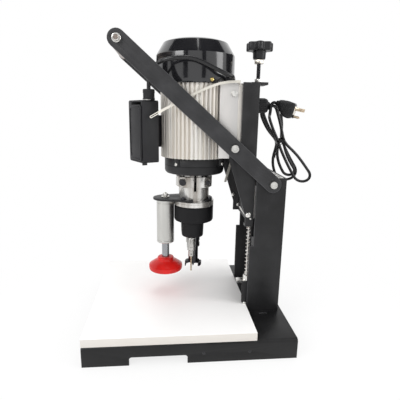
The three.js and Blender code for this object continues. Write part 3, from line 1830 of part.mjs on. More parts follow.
// The mains cord, tied into a hank
add('mains_cord', routed(laid(carriageRear, mainsCordRoute), cordRadius, 8), cordRubber(), carriage);
add('cord_hank', cordHank(), cordRubber(), carriage);
add('hank_tie', hankTie(), cordRubber(), carriage);
add('mains_plug', mainsPlug(), cordRubber(), carriage);

export default machine;
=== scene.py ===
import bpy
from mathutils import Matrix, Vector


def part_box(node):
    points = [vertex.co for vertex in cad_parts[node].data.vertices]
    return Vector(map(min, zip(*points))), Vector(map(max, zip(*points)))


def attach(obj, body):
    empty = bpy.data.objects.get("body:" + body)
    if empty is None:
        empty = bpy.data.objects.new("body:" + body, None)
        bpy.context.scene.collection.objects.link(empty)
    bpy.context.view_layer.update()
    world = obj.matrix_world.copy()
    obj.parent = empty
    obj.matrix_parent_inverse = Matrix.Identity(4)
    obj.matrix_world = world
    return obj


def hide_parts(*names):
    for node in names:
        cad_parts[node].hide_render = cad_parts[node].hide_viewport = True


bl_info = {
    "name": "Hinge Boring Machine",
    "version": (1, 0, 0),
    "blender": (4, 5, 0),
    "location": "View3D > Sidebar > Hinge Borer",
    "description": "Dresses and lights the packed model of a bench-top hinge boring machine",
    "category": "Object",
}

import math

import bpy
from mathutils import Matrix, Quaternion, Vector

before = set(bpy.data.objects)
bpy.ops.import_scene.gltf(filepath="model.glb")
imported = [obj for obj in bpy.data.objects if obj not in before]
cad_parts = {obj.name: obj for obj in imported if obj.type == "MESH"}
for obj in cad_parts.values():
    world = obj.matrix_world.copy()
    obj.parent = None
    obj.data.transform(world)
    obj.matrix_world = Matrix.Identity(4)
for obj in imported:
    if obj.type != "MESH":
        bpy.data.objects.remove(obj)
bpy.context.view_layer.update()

# Pieces are placed and sized in millimetres. The properties, finishes, camera and stage are in metres.
MM = 0.001
UP, NEAR, RIGHT = (0, 0, 1), (0, -1, 0), (1, 0, 0)
SIDES = ((-1, "near"), (1, "far"))
MOTOR_X = 13.0
MOTOR_AXIS = (MOTOR_X, 0)
HOUSING_FOOT, HOUSING_TOP = 351.0, 487.7
CARRIAGE_REAR = 124.5
ARM_FACE = 77.4
PIVOT_X, PIVOT_Z = 157, 305.5
DEPTH_X = 136.4
PRESSER_AXIS = (-46, 0)


def colour(name, description, default):
    return bpy.props.FloatVectorProperty(
        name=name, description=description, subtype="COLOR", size=3, min=0, max=1, default=default,
    )


def distance(name, description, default, low, high):
    return bpy.props.FloatProperty(
        name=name, description=description, subtype="DISTANCE", unit="LENGTH",
        default=default, min=low, max=high,
    )


class MachineColours(bpy.types.PropertyGroup):
    """Colours of the machine's main finishes"""

    paint: colour("Powder coat", "Satin black of the sheet-steel parts", (0.018, 0.018, 0.019))
    cowl: colour("Fan cowl", "Gloss black of the fan cowl", (0.012, 0.012, 0.014))
    plastic: colour("Black plastic", "Moulded black of the box, case and knob", (0.016, 0.016, 0.018))
    foot: colour("Presser foot", "Moulded red of the presser foot", (0.60, 0.012, 0.010))
    board: colour("Work board", "White melamine of the work board", (0.93, 0.923, 0.915))


class MachineSizes(bpy.types.PropertyGroup):
    """Sizes of the details that the dressing adds"""

    fins: bpy.props.IntProperty(
        name="Motor fins", description="Cooling fins round the motor housing", default=50, min=12, max=90,
    )
    sheet_edge: distance("Sheet edge", "Rounding on the edges of the steel sheets", 0.0006, 0.0001, 0.003)
    spring_wire: distance("Spring wire", "Thickness of the return spring's wire", 0.0018, 0.0005, 0.003)


# Finishes

TONE_START, TONE_SPAN = 0.34, 0.32
EVEN = (1, 1, 1)


def shade(tone, factor):
    return tuple(min(1.0, part * factor) for part in tone)


def toned(tone, low, high):
    """A finish's dark, middle and light tones."""
    return [shade(tone, low), tone, shade(tone, high)]


def node(tree, kind, inputs=(), **settings):
    """Adds a shader node. An input given as a socket is linked, and any other is set."""
    added = tree.nodes.new("ShaderNode" + kind)
    for key, value in settings.items():
        setattr(added, key, value)
    for key, value in dict(inputs).items():
        if isinstance(value, bpy.types.NodeSocket):
            tree.links.new(value, added.inputs[key])
        else:
            added.inputs[key].default_value = value
    return added


def noise(tree, scale, detail, stretch=EVEN):
    """A noise on the piece's own coordinates, stretched along its axes."""
    place = node(tree, "TexCoord").outputs["Object"]
    mapped = node(tree, "Mapping", {"Vector": place, "Scale": stretch}).outputs["Vector"]
    return node(tree, "TexNoise", {"Vector": mapped, "Scale": scale, "Detail": detail}).outputs["Fac"]


def ranged(tree, source, low, high, start=0.3, stop=0.7, kind="LINEAR"):
    inputs = {"Value": source, "From Min": start, "From Max": stop, "To Min": low, "To Max": high}
    return node(tree, "MapRange", inputs, interpolation_type=kind).outputs["Result"]


def tinted(tree, source, tones):
    """Tones along a noise, darkest first."""
    ramp = node(tree, "ValToRGB", {"Fac": source})
    stops = ramp.color_ramp.elements
    while len(stops) < len(tones):
        stops.new(0.5)
    for k, tone in enumerate(tones):
        stops[k].position = TONE_START + TONE_SPAN * k / (len(tones) - 1)
        stops[k].color = (*tone, 1)
    return ramp.outputs["Color"]


def surface(name, tones, cloud, rough, relief, grain=None, grain_polish=False, **values):
    """A finish whose tones and polish wander, with a fine relief.

    cloud and grain are noises given by scale, detail and stretch, rough is the least and
    greatest roughness, and relief is the bump's depth and strength.
    """
    material = bpy.data.materials.new(name)
    material.use_nodes = True
    tree = material.node_tree
    shader = tree.nodes["Principled BSDF"].inputs
    for key, value in values.items():
        shader[key.replace("_", " ")].default_value = value
    clouds = noise(tree, *cloud)
    grains = noise(tree, *grain) if grain else clouds
    if len(tones) > 1:
        tree.links.new(tinted(tree, clouds, tones), shader["Base Color"])
    else:
        shader["Base Color"].default_value = (*tones[0], 1)
    tree.links.new(ranged(tree, grains if grain_polish else clouds, *rough), shader["Roughness"])
    bump = node(tree, "Bump", {"Distance": relief[0], "Strength": relief[1], "Height": grains})
    tree.links.new(bump.outputs["Normal"], shader["Normal"])
    return material


def powder_coat(name, tone):
    """Satin powder coat with the faint orange peel and dust of the real finish."""
    tones = toned(tone, 0.82, 1.28)
    return surface(name, tones, (28, 5), (0.38, 0.52), (0.00009, 0.5), (900, 2), Specular_IOR_Level=0.3)


def gloss_coat(name, tone):
    return surface(
        name, [tone], (40, 3), (0.12, 0.2), (0.0002, 0.35), (60, 2), Coat_Weight=0.6, Coat_Roughness=0.06,
    )


def moulded(name, tone, rough=(0.42, 0.56), grain=1400, depth=0.00012, shine=0.35):
    """Moulded plastic or rubber with a fine spark-eroded grain."""
    tones = toned(tone, 0.86, 1.16)
    return surface(name, tones, (35, 4), rough, (depth, 0.5), (grain, 2), Specular_IOR_Level=shine)


def plated(name, tone, rough=(0.22, 0.36), stretch=EVEN, scale=120, depth=0.00003):
    """Bright metal whose tone and polish wander a little, or run along one axis where it is brushed."""
    return surface(name, toned(tone, 0.84, 1.1), (scale, 5, stretch), rough, (depth, 0.6), Metallic=1.0)


def cast_metal(name, tones, stretch, scale, rough=(0.38, 0.55)):
    """Cast or extruded metal: warm and cool greys in streaks, with a fine grain."""
    return surface(name, tones, (scale, 5, stretch), rough, (0.00008, 0.6), (900, 3), True, Metallic=0.72)


def laminate(name, tone):
    """White melamine with its fine pressed texture."""
    return surface(name, toned(tone, 0.985, 1.012), (7, 3), (0.42, 0.55), (0.00005, 0.5), (700, 3), True)


def make_finishes(colours):
    paint, cowl, plastic, foot, board = (
        tuple(part) for part in (colours.paint, colours.cowl, colours.plastic, colours.foot, colours.board)
    )
    housing = [(0.60, 0.58, 0.55), (0.74, 0.70, 0.64), (0.84, 0.82, 0.78)]
    mount = [(0.62, 0.61, 0.60), (0.72, 0.70, 0.68), (0.80, 0.785, 0.77)]
    hub = [(0.30, 0.27, 0.24), (0.58, 0.56, 0.53), (0.80, 0.79, 0.77)]
    wire = [(0.62, 0.58, 0.53), (0.80, 0.77, 0.73), (0.92, 0.91, 0.89)]
    return {
        "paint": powder_coat("black_powder_coat", paint),
        # The base's coat is the black paint made darker as painted shade, and the lever's is made lighter as
        # painted light.
        "base": powder_coat("base_shaded_powder_coat", shade(paint, 0.55)),
        "arm": powder_coat("lever_lit_powder_coat", shade(paint, 1.9)),
        # The sheet edges' coat is the black paint made five times lighter: a painted highlight along the
        # rounded edges.
        "edge_highlight": powder_coat("painted_edge_highlight", shade(paint, 5)),
        "cowl": gloss_coat("cowl_gloss_black", cowl),
        "plastic": moulded("moulded_black", plastic),
        "knob": moulded("knob_black", plastic, (0.3, 0.42)),
        "case": moulded("case_black", shade(plastic, 0.55), (0.5, 0.62), 900, 0.00012, 0.2),
        "cord": moulded("cord_sheath", shade(plastic, 0.62), (0.22, 0.32), 700, 0.00003, 0.5),
        "red": moulded("foot_red", foot, (0.16, 0.24), 90, 0.00003, 0.35),
        "switch": moulded("switch_red", shade(foot, 0.85), (0.3, 0.4)),
        "nylon": moulded("strap_nylon", (0.72, 0.69, 0.62), (0.3, 0.42), 500),
        "board": laminate("board_melamine", board),
        # The board's side faces: a warm edge band, darker than the top as painted shade.
        "edge": laminate("board_edge_band_and_shade", (0.74, 0.705, 0.66)),
        "housing": cast_metal("housing_aluminium", housing, (1, 1, 0.05), 45),
        "mount": cast_metal("mount_aluminium", mount, (1, 1, 0.35), 16, (0.42, 0.58)),
        "hub": cast_metal("hub_cast", hub, (1, 1, 0.12), 60, (0.16, 0.3)),
        "wire": cast_metal("spring_wire", wire, EVEN, 90),
        "zinc": plated("zinc_plate", (0.80, 0.79, 0.76)),
        "bronze": plated("bronzed_steel", (0.33, 0.28, 0.25), (0.3, 0.45)),
        "rod": plated("chromed_rod", (0.34, 0.35, 0.365), (0.16, 0.24), (1, 1, 0.1), 40, 0.00001),
        "nickel": plated("nickel_plate", (0.50, 0.47, 0.42)),
        "bright": plated("turned_steel", (0.52, 0.51, 0.49), (0.2, 0.3), EVEN, 30, 0.00001),
        "tube": plated("tube_aluminium", (0.60, 0.595, 0.57), (0.34, 0.42), (1, 1, 0.3), 30, 0.00001),
        # Partly a real folded edge and partly a painted highlight along it.
        "strip": plated("milled_edge_and_highlight", (0.74, 0.71, 0.66), (0.4, 0.55), (1, 1, 0.2), 60, 0.00001),
        "dark": plated("black_oxide", (0.055, 0.055, 0.060), (0.3, 0.45)),
        "brass": plated("brass_screw", (0.70, 0.55, 0.22), (0.2, 0.32)),
        "drill": plated("drill_steel", (0.52, 0.44, 0.32), (0.25, 0.4)),
        "copper": plated("plug_brass", (0.62, 0.50, 0.36), (0.2, 0.35)),
        "winding": plated("winding_copper", (0.44, 0.17, 0.08), (0.35, 0.5)),
    }


finishes = {}


# Modelling

PLANES = {"xy": (0, 1, 2), "xz": (0, 2, 1), "yz": (1, 2, 0)}
SAME_LEVEL, SAME_POINT = 0.001, 0.002
FLAT_DEGREES = 0.6


def clear_selection():
    if bpy.context.object and bpy.context.object.mode != "OBJECT":
        bpy.ops.object.mode_set(mode="OBJECT")
    bpy.ops.object.select_all(action="DESELECT")


def take(piece):
    """Makes one piece the selected and active one."""
    clear_selection()
    piece.select_set(True)
    bpy.context.view_layer.objects.active = piece


def named(name):
    piece = bpy.context.object
    piece.name = piece.data.name = name
    return piece


def open_edit():
    """Opens the active piece for editing, all of it selected."""
    bpy.ops.object.mode_set(mode="EDIT")
    bpy.ops.mesh.select_all(action="SELECT")


def close_edit():
    """Turns all faces outwards and leaves edit mode."""
    bpy.ops.mesh.select_all(action="SELECT")
    bpy.ops.mesh.normals_make_consistent(inside=False)
    bpy.ops.object.mode_set(mode="OBJECT")


def modifier(piece, kind, **settings):
    """Adds a modifier, sets it and applies it."""
    take(piece)
    bpy.ops.object.modifier_add(type=kind)
    added = piece.modifiers[-1]
    for key, value in settings.items():
        setattr(added, key, value)
    bpy.ops.object.modifier_apply(modifier=added.name)
    return piece


def rounded(piece, width, segments=2, angle=40):
    return modifier(
        piece, "BEVEL", width=width * MM, segments=segments,
        limit_method="ANGLE", angle_limit=math.radians(angle),
    )


def cut(piece, *cutters):
    for cutter in cutters:
        modifier(piece, "BOOLEAN", operation="DIFFERENCE", object=cutter, solver="EXACT")
        bpy.data.objects.remove(cutter, do_unlink=True)
    return piece


def moved(piece, place):
    """Carries a piece to its place on the machine and applies the move to its mesh."""
    take(piece)
    piece.matrix_world = place
    bpy.ops.object.transform_apply(location=True, rotation=True, scale=True)
    return piece


def placed(piece, centre, direction=UP, spin=0.0):
    """Stands a piece made on the vertical axis at a place, along a direction."""
    turn = Vector(direction).to_track_quat("Z", "Y") @ Quaternion(UP, spin)
    return moved(piece, Matrix.LocRotScale(Vector(centre) * MM, turn, None))


def joined(name, pieces):
    """Several meshes as one piece."""
    clear_selection()
    for piece in pieces:
        piece.select_set(True)
    bpy.context.view_layer.objects.active = pieces[0]
    bpy.ops.object.join()
    return named(name)


def polar(radius, degrees, centre=(0, 0)):
    """A point on a circle, by its angle."""
    turn = math.radians(degrees)
    return centre[0] + radius * math.cos(turn), centre[1] + radius * math.sin(turn)


def scaled(share, centre, height):
    """Scales what is selected sideways about a centre."""
    pivot = (centre[0] * MM, centre[1] * MM, height * MM)
    bpy.ops.transform.resize(value=(share, share, 1), center_override=pivot)


def raised(scale, height, rings, centre):
    """Extrudes what is selected up through (scale, height) rings about a centre."""
    for next_scale, next_height in rings:
        step = (0, 0, (next_height - height) * MM)
        bpy.ops.mesh.extrude_region_move(TRANSFORM_OT_translate={"value": step})
        scaled(next_scale / scale, centre, next_height)
        scale, height = next_scale, next_height


def circle(name, sides, radius, filled=True):
    clear_selection()
    bpy.ops.mesh.primitive_circle_add(
        vertices=sides, radius=radius * MM, fill_type="NGON" if filled else "NOTHING", location=(0, 0, 0),
    )
    return named(name)


def turned(name, profile, centre=(0, 0), sides=72, filled=True):
    """Turns (radius, height) pairs about a vertical axis, one ring after another."""
    (radius, height), *rings = profile
    piece = circle(name, sides, radius, filled)
    open_edit()
    bpy.ops.transform.translate(value=(centre[0] * MM, centre[1] * MM, height * MM))
    raised(radius, height, rings, centre)
    if not filled:
        bpy.ops.mesh.edge_face_add()
    close_edit()
    return piece


def shell(name, profile, centre, wall, sides):
    """An open skin turned from its foot up, closed at the top and given a wall."""
    piece = turned(name, profile, centre, sides, filled=False)
    return modifier(piece, "SOLIDIFY", thickness=wall * MM, offset=-1)


def pushed(name, plane, outline, low, high):
    """Draws an outline and pushes it from one level to another."""
    piece = circle(name, len(outline), 1 / MM)
    across, along, out = PLANES[plane]
    for vertex, point in zip(piece.data.vertices, outline):
        vertex.co[across], vertex.co[along], vertex.co[out] = point[0] * MM, point[1] * MM, low * MM
    open_edit()
    step = [0.0, 0.0, 0.0]
    step[out] = (high - low) * MM
    bpy.ops.mesh.extrude_region_move(TRANSFORM_OT_translate={"value": step})
    close_edit()
    return piece


def stepped(name, outline, centre, rings):
    """An outline carried up through (scale, height) rings about a centre."""
    (scale, height), (next_scale, next_height), *rest = rings
    first = [(centre[0] + (x - centre[0]) * scale, centre[1] + (y - centre[1]) * scale) for x, y in outline]
    piece = pushed(name, "xy", first, height, next_height)
    vertices = piece.data.vertices
    top = max(vertex.co.z for vertex in vertices)
    bpy.ops.object.mode_set(mode="EDIT")
    bpy.ops.mesh.select_all(action="DESELECT")
    bpy.ops.object.mode_set(mode="OBJECT")
    for polygon in piece.data.polygons:
        polygon.select = all(top - vertices[k].co.z < SAME_LEVEL * MM for k in polygon.vertices)
    bpy.ops.object.mode_set(mode="EDIT")
    bpy.ops.mesh.select_mode(type="FACE")
    scaled(next_scale / scale, centre, next_height)
    raised(next_scale, next_height, rest, centre)
    close_edit()
    return piece


def block(name, low, high):
    """A box between two corners."""
    clear_selection()
    bpy.ops.mesh.primitive_cube_add(size=1, location=(0, 0, 0))
    piece = named(name)
    open_edit()
    bpy.ops.transform.resize(value=[(b - a) * MM for a, b in zip(low, high)], center_override=(0, 0, 0))
    bpy.ops.transform.translate(value=[(a + b) / 2 * MM for a, b in zip(low, high)])
    bpy.ops.object.mode_set(mode="OBJECT")
    return piece


def cross_drill(radius, x, z, low, high):
    """A round cutter across the machine, between two levels of y."""
    return placed(turned("drill", [(radius, low), (radius, high)], sides=20), (x, 0, z), (0, 1, 0))


def solid_box(node):
    """A CAD node's lower and upper corners and its middle."""
    low, high = (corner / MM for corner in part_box(node))
    return low, high, (low + high) / 2


def from_solid(node, name):
    """A merged copy of a CAD node with its flat faces whole, ready for rounded edges."""
    piece = bpy.data.objects.new(name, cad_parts[node].data.copy())
    piece.data.materials.clear()
    bpy.context.scene.collection.objects.link(piece)
    take(piece)
    open_edit()
    bpy.ops.mesh.remove_doubles(threshold=SAME_POINT * MM)
    bpy.ops.mesh.dissolve_limited(angle_limit=math.radians(FLAT_DEGREES))
    bpy.ops.object.mode_set(mode="OBJECT")
    return piece


def coat(piece, finish):
    piece.data.materials.clear()
    piece.data.materials.append(finishes[finish])


def finished(piece, finish, body, nodes=(), smooth=34, slot=None):
    """Smooths and coats a piece, and hangs it on its CAD body in place of the nodes."""
    take(piece)
    bpy.ops.object.shade_smooth_by_angle(angle=math.radians(smooth))
    coat(piece, finish)
    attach(piece, body)
    if nodes:
        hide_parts(*nodes)
    return piece


def dressed(node, name, finish, body, width=0.5, segments=2, angle=40):
    """A CAD node's own shape with its edges rounded."""
    piece = rounded(from_solid(node, name), width, segments, angle)
    return finished(piece, finish, body, [node])


def assembled(name, pieces, finish, body="carriage", nodes=(), **settings):
    """Joins pieces, such as a set of screws, and finishes them as one."""
    return finished(joined(name, pieces), finish, body, nodes, **settings)


def recoloured(piece, finish, chosen):
    """Gives the faces that a test chooses a second finish."""
    piece.data.materials.append(finishes[finish])
    for polygon in piece.data.polygons:
        if chosen(polygon):
            polygon.material_index = len(piece.data.materials) - 1


def highlight_edges(piece, width):
    """Lightens the narrow rounded edges of a painted sheet as a painted highlight along them."""
    def narrow(polygon):
        places = [piece.data.vertices[k].co for k in polygon.vertices]
        longest = max((b - a).length for a, b in zip(places, [*places[1:], places[0]]))
        return polygon.area < longest * width * MM
    recoloured(piece, "edge_highlight", narrow)


def hexagon(name, across, height, bore=None, chamfer=0.6):
    """A hexagon nut or head standing on z 0, its corners turned down at both ends."""
    corners = [polar(across / math.sqrt(3), 60 * k) for k in range(6)]
    piece = rounded(pushed(name, "xy", corners, 0, height), chamfer)
    if bore:
        cut(piece, turned("bore", [(bore, -1), (bore, height + 1)], sides=24))
    return piece


def pan_head(radius, height, wells=2):
    """A domed screw head standing on z 0 with small round wells on its crown."""
    dome = ((0.96, 0), (1, 0.16), (0.985, 0.42), (0.88, 0.72), (0.66, 0.92), (0.36, 1))
    piece = turned("head", [(radius * share, height * level) for share, level in dome], sides=40)
    for k in range(wells):
        well = turned("well", [(radius * 0.17, height * 0.6), (radius * 0.17, height * 1.4)], sides=14)
        cut(piece, placed(well, (*polar(radius * 0.36, 200 + 150 * k), 0)))
    return piece


def socket_head(radius, height):
    piece = turned("head", [(radius, 0), (radius, height * 0.86), (radius * 0.9, height)], sides=36)
    corners = [polar(radius * 0.55, 60 * k) for k in range(6)]
    return cut(piece, pushed("well", "xy", corners, height * 0.45, height * 1.4))


def slotted_head(radius, height):
    profile = [(radius, 0), (radius, height * 0.4), (radius * 0.8, height * 0.85), (radius * 0.4, height)]
    piece = turned("head", profile, sides=32)
    half, wide = radius * 0.55, radius * 0.12
    for turn in (0.0, math.pi / 2):
        bar = block("bar", (-half, -wide, height * 0.55), (half, wide, height * 1.4))
        cut(piece, placed(bar, (0, 0, 0), UP, turn + 0.4))
    return piece


def smooth_path(points, steps):
    """Points on a smooth line through given ones, as the part's source draws it."""
    places = [Vector(point) for point in points]
    ends = [2 * places[0] - places[1], *places, 2 * places[-1] - places[-2]]
    line = []
    for a, b, c, d in zip(ends, ends[1:], ends[2:], ends[3:]):
        ab, bc, cd = (math.sqrt((q - p).length) for p, q in ((a, b), (b, c), (c, d)))
        start = ((b - a) / ab - (c - a) / (ab + bc) + (c - b) / bc) * bc
        stop = ((c - b) / bc - (d - b) / (bc + cd) + (d - c) / cd) * bc
        for k in range(steps):
            t = k / steps
            line.append(
                (2 * t**3 - 3 * t**2 + 1) * b + (t**3 - 2 * t**2 + t) * start
                + (3 * t**2 - 2 * t**3) * c + (t**3 - t**2) * stop
            )
    return [*line, places[-1]]


def wire(name, points, radius, resolution=5):
    """A round wire or sheath along a line of points."""
    line = bpy.data.curves.new(name, "CURVE")
    line.dimensions = "3D"
    line.bevel_depth = radius * MM
    line.bevel_resolution = resolution
    line.use_fill_caps = True
    spline = line.splines.new("POLY")
    spline.points.add(len(points) - 1)
    for place, point in zip(spline.points, points):
        place.co = (*(point * MM), 1)
    piece = bpy.data.objects.new(name, line)
    bpy.context.scene.collection.objects.link(piece)
    return piece


def solid_wire(name, points, radius, resolution):
    """A wire turned into a mesh."""
    take(wire(name, points, radius, resolution))
    bpy.ops.object.convert(target="MESH")
    return named(name)


# Camera and light

CAMERA_PLACE = (-0.0449, -0.7335, 0.4340)
CAMERA_YAW, CAMERA_PITCH, CAMERA_ROLL = 5.37, 13.33, 0.91
CAMERA_SENSOR, CAMERA_LENS = 36, 32.6835
CAMERA_SHIFT = (0.0023, -0.00065)
WORLD_LIGHT = 0.66
WHITE, FLOOR_TONE, CARD_TONE = (1, 1, 1, 1), (0.9, 0.9, 0.9, 1), (0.01, 0.01, 0.01, 1)
FLOOR_SIZE, FLOOR_LEVEL = 14, -0.0002
# The floor's own glow grows from the first share to the second between these two distances.
FLOOR_GLOW, FLOOR_FADE = (0.8, 1.0), (0.2, 0.55)
LAMP_AIM = (0, 0, 0.3)
LAMPS = (
    ("key_softbox", (-1.5, -1.3, 1.5), (1.1, 1.1), 22),
    ("side_softbox", (1.7, -0.7, 1.0), (0.7, 1.4), 11),
    ("top_softbox", (0.1, 0.2, 2.1), (1.4, 1.4), 16),
)
CARDS = (
    ("card_left", (-0.95, -1.55, 0.5), (0, 0, 0.5), (0.42, 2.4)),
    ("card_right", (0.62, -1.75, 0.5), (0, 0, 0.5), (0.36, 2.4)),
    ("card_far_right", (1.9, 0.5, 0.5), (0, 0, 0.5), (0.9, 2.4)),
    ("card_far_left", (-2.0, 0.35, 0.5), (0, 0, 0.5), (0.8, 2.4)),
    ("card_low_right", (0.5, -0.1, 0.17), (0, -0.1, 0.17), (0.8, 0.36)),
    ("card_top_left", (-0.68, -0.4, 1.9), (-0.68, -0.4, 0), (1.5, 2)),
    ("card_top_right", (0.88, -0.4, 1.9), (0.88, -0.4, 0), (1.5, 2)),
)


def set_camera():
    """The photograph's camera: place, turn and lens from a fit to the machine's own sizes."""
    data = bpy.data.cameras.new("photo_camera")
    data.sensor_width, data.lens = CAMERA_SENSOR, CAMERA_LENS
    data.shift_x, data.shift_y = CAMERA_SHIFT
    data.clip_start, data.clip_end = 0.01, 100
    camera = bpy.data.objects.new("photo_camera", data)
    camera.matrix_world = Matrix.Translation(CAMERA_PLACE)
    for degrees, axis in ((-CAMERA_YAW, "Z"), (90 - CAMERA_PITCH, "X"), (CAMERA_ROLL, "Z")):
        camera.matrix_world @= Matrix.Rotation(math.radians(degrees), 4, axis)
    bpy.context.scene.collection.objects.link(camera)
    bpy.context.scene.camera = camera


def aimed(place, toward, front):
    """Stands a thing at a place, its front turned to another."""
    place = Vector(place)
    return Matrix.LocRotScale(place, (Vector(toward) - place).to_track_quat(front, "Y"), None)


def lamp(name, place, size, power):
    data = bpy.data.lights.new(name, "AREA")
    data.shape = "RECTANGLE"
    data.size, data.size_y = size
    data.energy = power
    light = bpy.data.objects.new(name, data)
    light.matrix_world = aimed(place, LAMP_AIM, "-Z")
    bpy.context.scene.collection.objects.link(light)


def worked(tree, operation, first, second):
    return node(tree, "Math", {0: first, 1: second}, operation=operation).outputs[0]


def background_rays(tree):
    """One for rays from the camera and for reflections, so that both see the white backdrop."""
    path = node(tree, "LightPath").outputs
    seen = worked(tree, "MAXIMUM", path["Is Camera Ray"], path["Is Glossy Ray"])
    return worked(tree, "MAXIMUM", seen, path["Is Transmission Ray"])


def bare_tree(owner):
    owner.use_nodes = True
    owner.node_tree.nodes.clear()
    return owner.node_tree


def mixed(tree, output, share, first, second):
    mix = node(tree, "MixShader", {0: share, 1: first.outputs[0], 2: second.outputs[0]})
    node(tree, output, {"Surface": mix.outputs[0]})


def set_world():
    """Even light, and pure white where the camera looks past the machine."""
    world = bpy.context.scene.world = bpy.data.worlds.new("studio")
    tree = bare_tree(world)
    soft, white = (
        node(tree, "Background", {"Color": WHITE, "Strength": strength}) for strength in (WORLD_LIGHT, 1.0)
    )
    mixed(tree, "OutputWorld", background_rays(tree), soft, white)


def lay_floor():
    """A floor that keeps the machine's shadow and fades to the white backdrop."""
    clear_selection()
    bpy.ops.mesh.primitive_plane_add(size=FLOOR_SIZE, location=(0, 0, FLOOR_LEVEL))
    floor = named("floor")
    material = bpy.data.materials.new("floor_white")
    tree = bare_tree(material)
    place = node(tree, "TexCoord").outputs["Object"]
    away = node(tree, "VectorMath", {0: place}, operation="LENGTH").outputs["Value"]
    fade = ranged(tree, away, *FLOOR_GLOW, *FLOOR_FADE, "SMOOTHSTEP")
    share = worked(tree, "MULTIPLY", background_rays(tree), fade)
    lit = node(tree, "BsdfDiffuse", {"Color": FLOOR_TONE})
    glow = node(tree, "Emission", {"Color": WHITE, "Strength": 1.0})
    mixed(tree, "OutputMaterial", share, lit, glow)
    floor.data.materials.append(material)


def hang_card(name, place, toward, size):
    """A dark card that only reflections see, as a photographer sets it for gloss."""
    clear_selection()
    bpy.ops.mesh.primitive_plane_add(size=1, location=(0, 0, 0))
    card = named(name)
    moved(card, aimed(place, toward, "Z") @ Matrix.Diagonal((*size, 1, 1)))
    dull = bpy.data.materials.new(name)
    dull.use_nodes = True
    shader = dull.node_tree.nodes["Principled BSDF"].inputs
    for key, value in (("Base Color", CARD_TONE), ("Roughness", 1.0), ("Specular IOR Level", 0.0)):
        shader[key].default_value = value
    card.data.materials.append(dull)
    card.visible_camera = card.visible_diffuse = card.visible_shadow = card.visible_transmission = False


def set_stage():
    bpy.context.scene.view_settings.view_transform = "Standard"
    set_world()
    lay_floor()
    for row in LAMPS:
        lamp(*row)
    for row in CARDS:
        hang_card(*row)


# Mains cord

CORD_RADIUS = 3.1
MAINS_ROUTE = [
    (46.3, 30, 452), (53.5, 30, 452), (64, 32.5, 451.5), (73.5, 38.5, 450),
    (80, 47, 447), (82.7, 57, 441.8), (83.65, 64.2, 433.3), (84.6, 64.2, 426.44),
]
HANK_TAIL = [
    (52.7, 45.3, 425.5), (50.3, 40, 430), (48.1, 32, 432.6), (46.3, 24.5, 434), (44.9, 18, 437.5),
    (44.5, 14.6, 443.5), (44.5, 13.7, 449.7), (46.3, 14.4, 455.3), (50.7, 15, 458.5), (54.75, 12.65, 457.56),
]
ROUTE_STEPS, TAIL_STEPS = 9, 7
HANK_LOOPS, HANK_STEPS = 3, 64
HANK_PITCH = 7.2
HANK_WAIST = 6.5
HANK_LOBE = 25
HANK_REACH, HANK_UPPER = 100, 81
HANK_CENTRE = Vector((CARRIAGE_REAR + 81.9, 57, 379.2))
HANK_LEAN = 0.37
HANK_ALONG = Vector((math.sin(HANK_LEAN), 0, -math.cos(HANK_LEAN)))
HANK_ACROSS = Vector((math.cos(HANK_LEAN), 0, math.sin(HANK_LEAN)))
HANK_START, HANK_END = 1.1, 0.95
HANK_BULGE_SHARE = 0.35
LOWER_SHARES = [0.92, 0.82, 1.06]
LOWER_HALF_SHARES = [1, 0.52, 0.72]
UPPER_HALF_SHARES = [1.08, 0.76, 0.6, 0.28]
LOWER_FAN_SHARES = [-0.64, -0.48, 0.52]
UPPER_FAN_SHARE = -0.16
DRIFT_SHARE = 0.56
TIE_RADIUS = 0.75
TIE_TURNS, TIE_STEPS = 5, 40
TIE_HALF_WIDTH, TIE_HALF_DEPTH, TIE_HEIGHT = 9.6, 12.2, 6.4
TIE_TAIL = ((5, -3, -3), (16, -6, -12), (22, -7, -24), (22.5, -7, -31))
PLUG_PLACE = (
    Matrix.Translation(Vector((CARRIAGE_REAR + 55, 12.5, 457.5)) * MM)
    @ Matrix.Rotation(-0.52, 4, "Z") @ Matrix.Rotation(0.21, 4, "Y")
)


def laid(start, route):
    """A route moved along the machine to where it starts."""
    return [Vector((start + x, y, z)) for x, y, z in route]


def hank_point(turn):
    """A point of the tied loops: long turns that cross at the tie and fan out below it."""
    loop = min(HANK_LOOPS - 1, int(turn // (2 * math.pi)))
    angle = turn - 2 * math.pi * loop
    lower, level = math.cos(angle) < 0, abs(math.cos(angle))
    reach = HANK_REACH * LOWER_SHARES[loop] if lower else HANK_UPPER
    fold = loop + 1 if angle > math.pi else loop
    half = HANK_LOBE * (LOWER_HALF_SHARES[loop] if lower else UPPER_HALF_SHARES[fold])
    bulge = level**2 * (1 + HANK_BULGE_SHARE**2) / (level**2 + HANK_BULGE_SHARE**2)
    turned_in = max(0, (level * reach - reach + half) / half)
    width = (HANK_WAIST + (half - HANK_WAIST) * bulge) * math.sqrt(max(0, 1 - turned_in**2))
    lower_fan = LOWER_FAN_SHARES[loop] * bulge + DRIFT_SHARE * level**2
    fan = HANK_LOBE * (lower_fan if lower else UPPER_FAN_SHARE * bulge)
    across = fan + math.copysign(width, math.sin(angle))
    t = min(1, max(0, (angle / math.pi - 1.5) / 0.45))
    layer = loop + t * t * (3 - 2 * t) - (HANK_LOOPS - 1) / 2
    centre = HANK_CENTRE - Vector((0, HANK_PITCH * layer, 0))
    return centre - HANK_ALONG * reach * math.cos(angle) + HANK_ACROSS * across


def cord_line():
    """The whole cord from the gland to the plug."""
    last = 2 * math.pi * HANK_LOOPS - HANK_END
    count = round((last - HANK_START) / (2 * math.pi) * HANK_STEPS)
    loops = [hank_point(HANK_START + (last - HANK_START) * k / count) for k in range(count + 1)]
    lead = smooth_path(laid(CARRIAGE_REAR, MAINS_ROUTE), ROUTE_STEPS)
    tail = smooth_path([*loops[-2:], *laid(CARRIAGE_REAR, HANK_TAIL)], TAIL_STEPS)
    return [*lead, *loops[:-2], *tail]


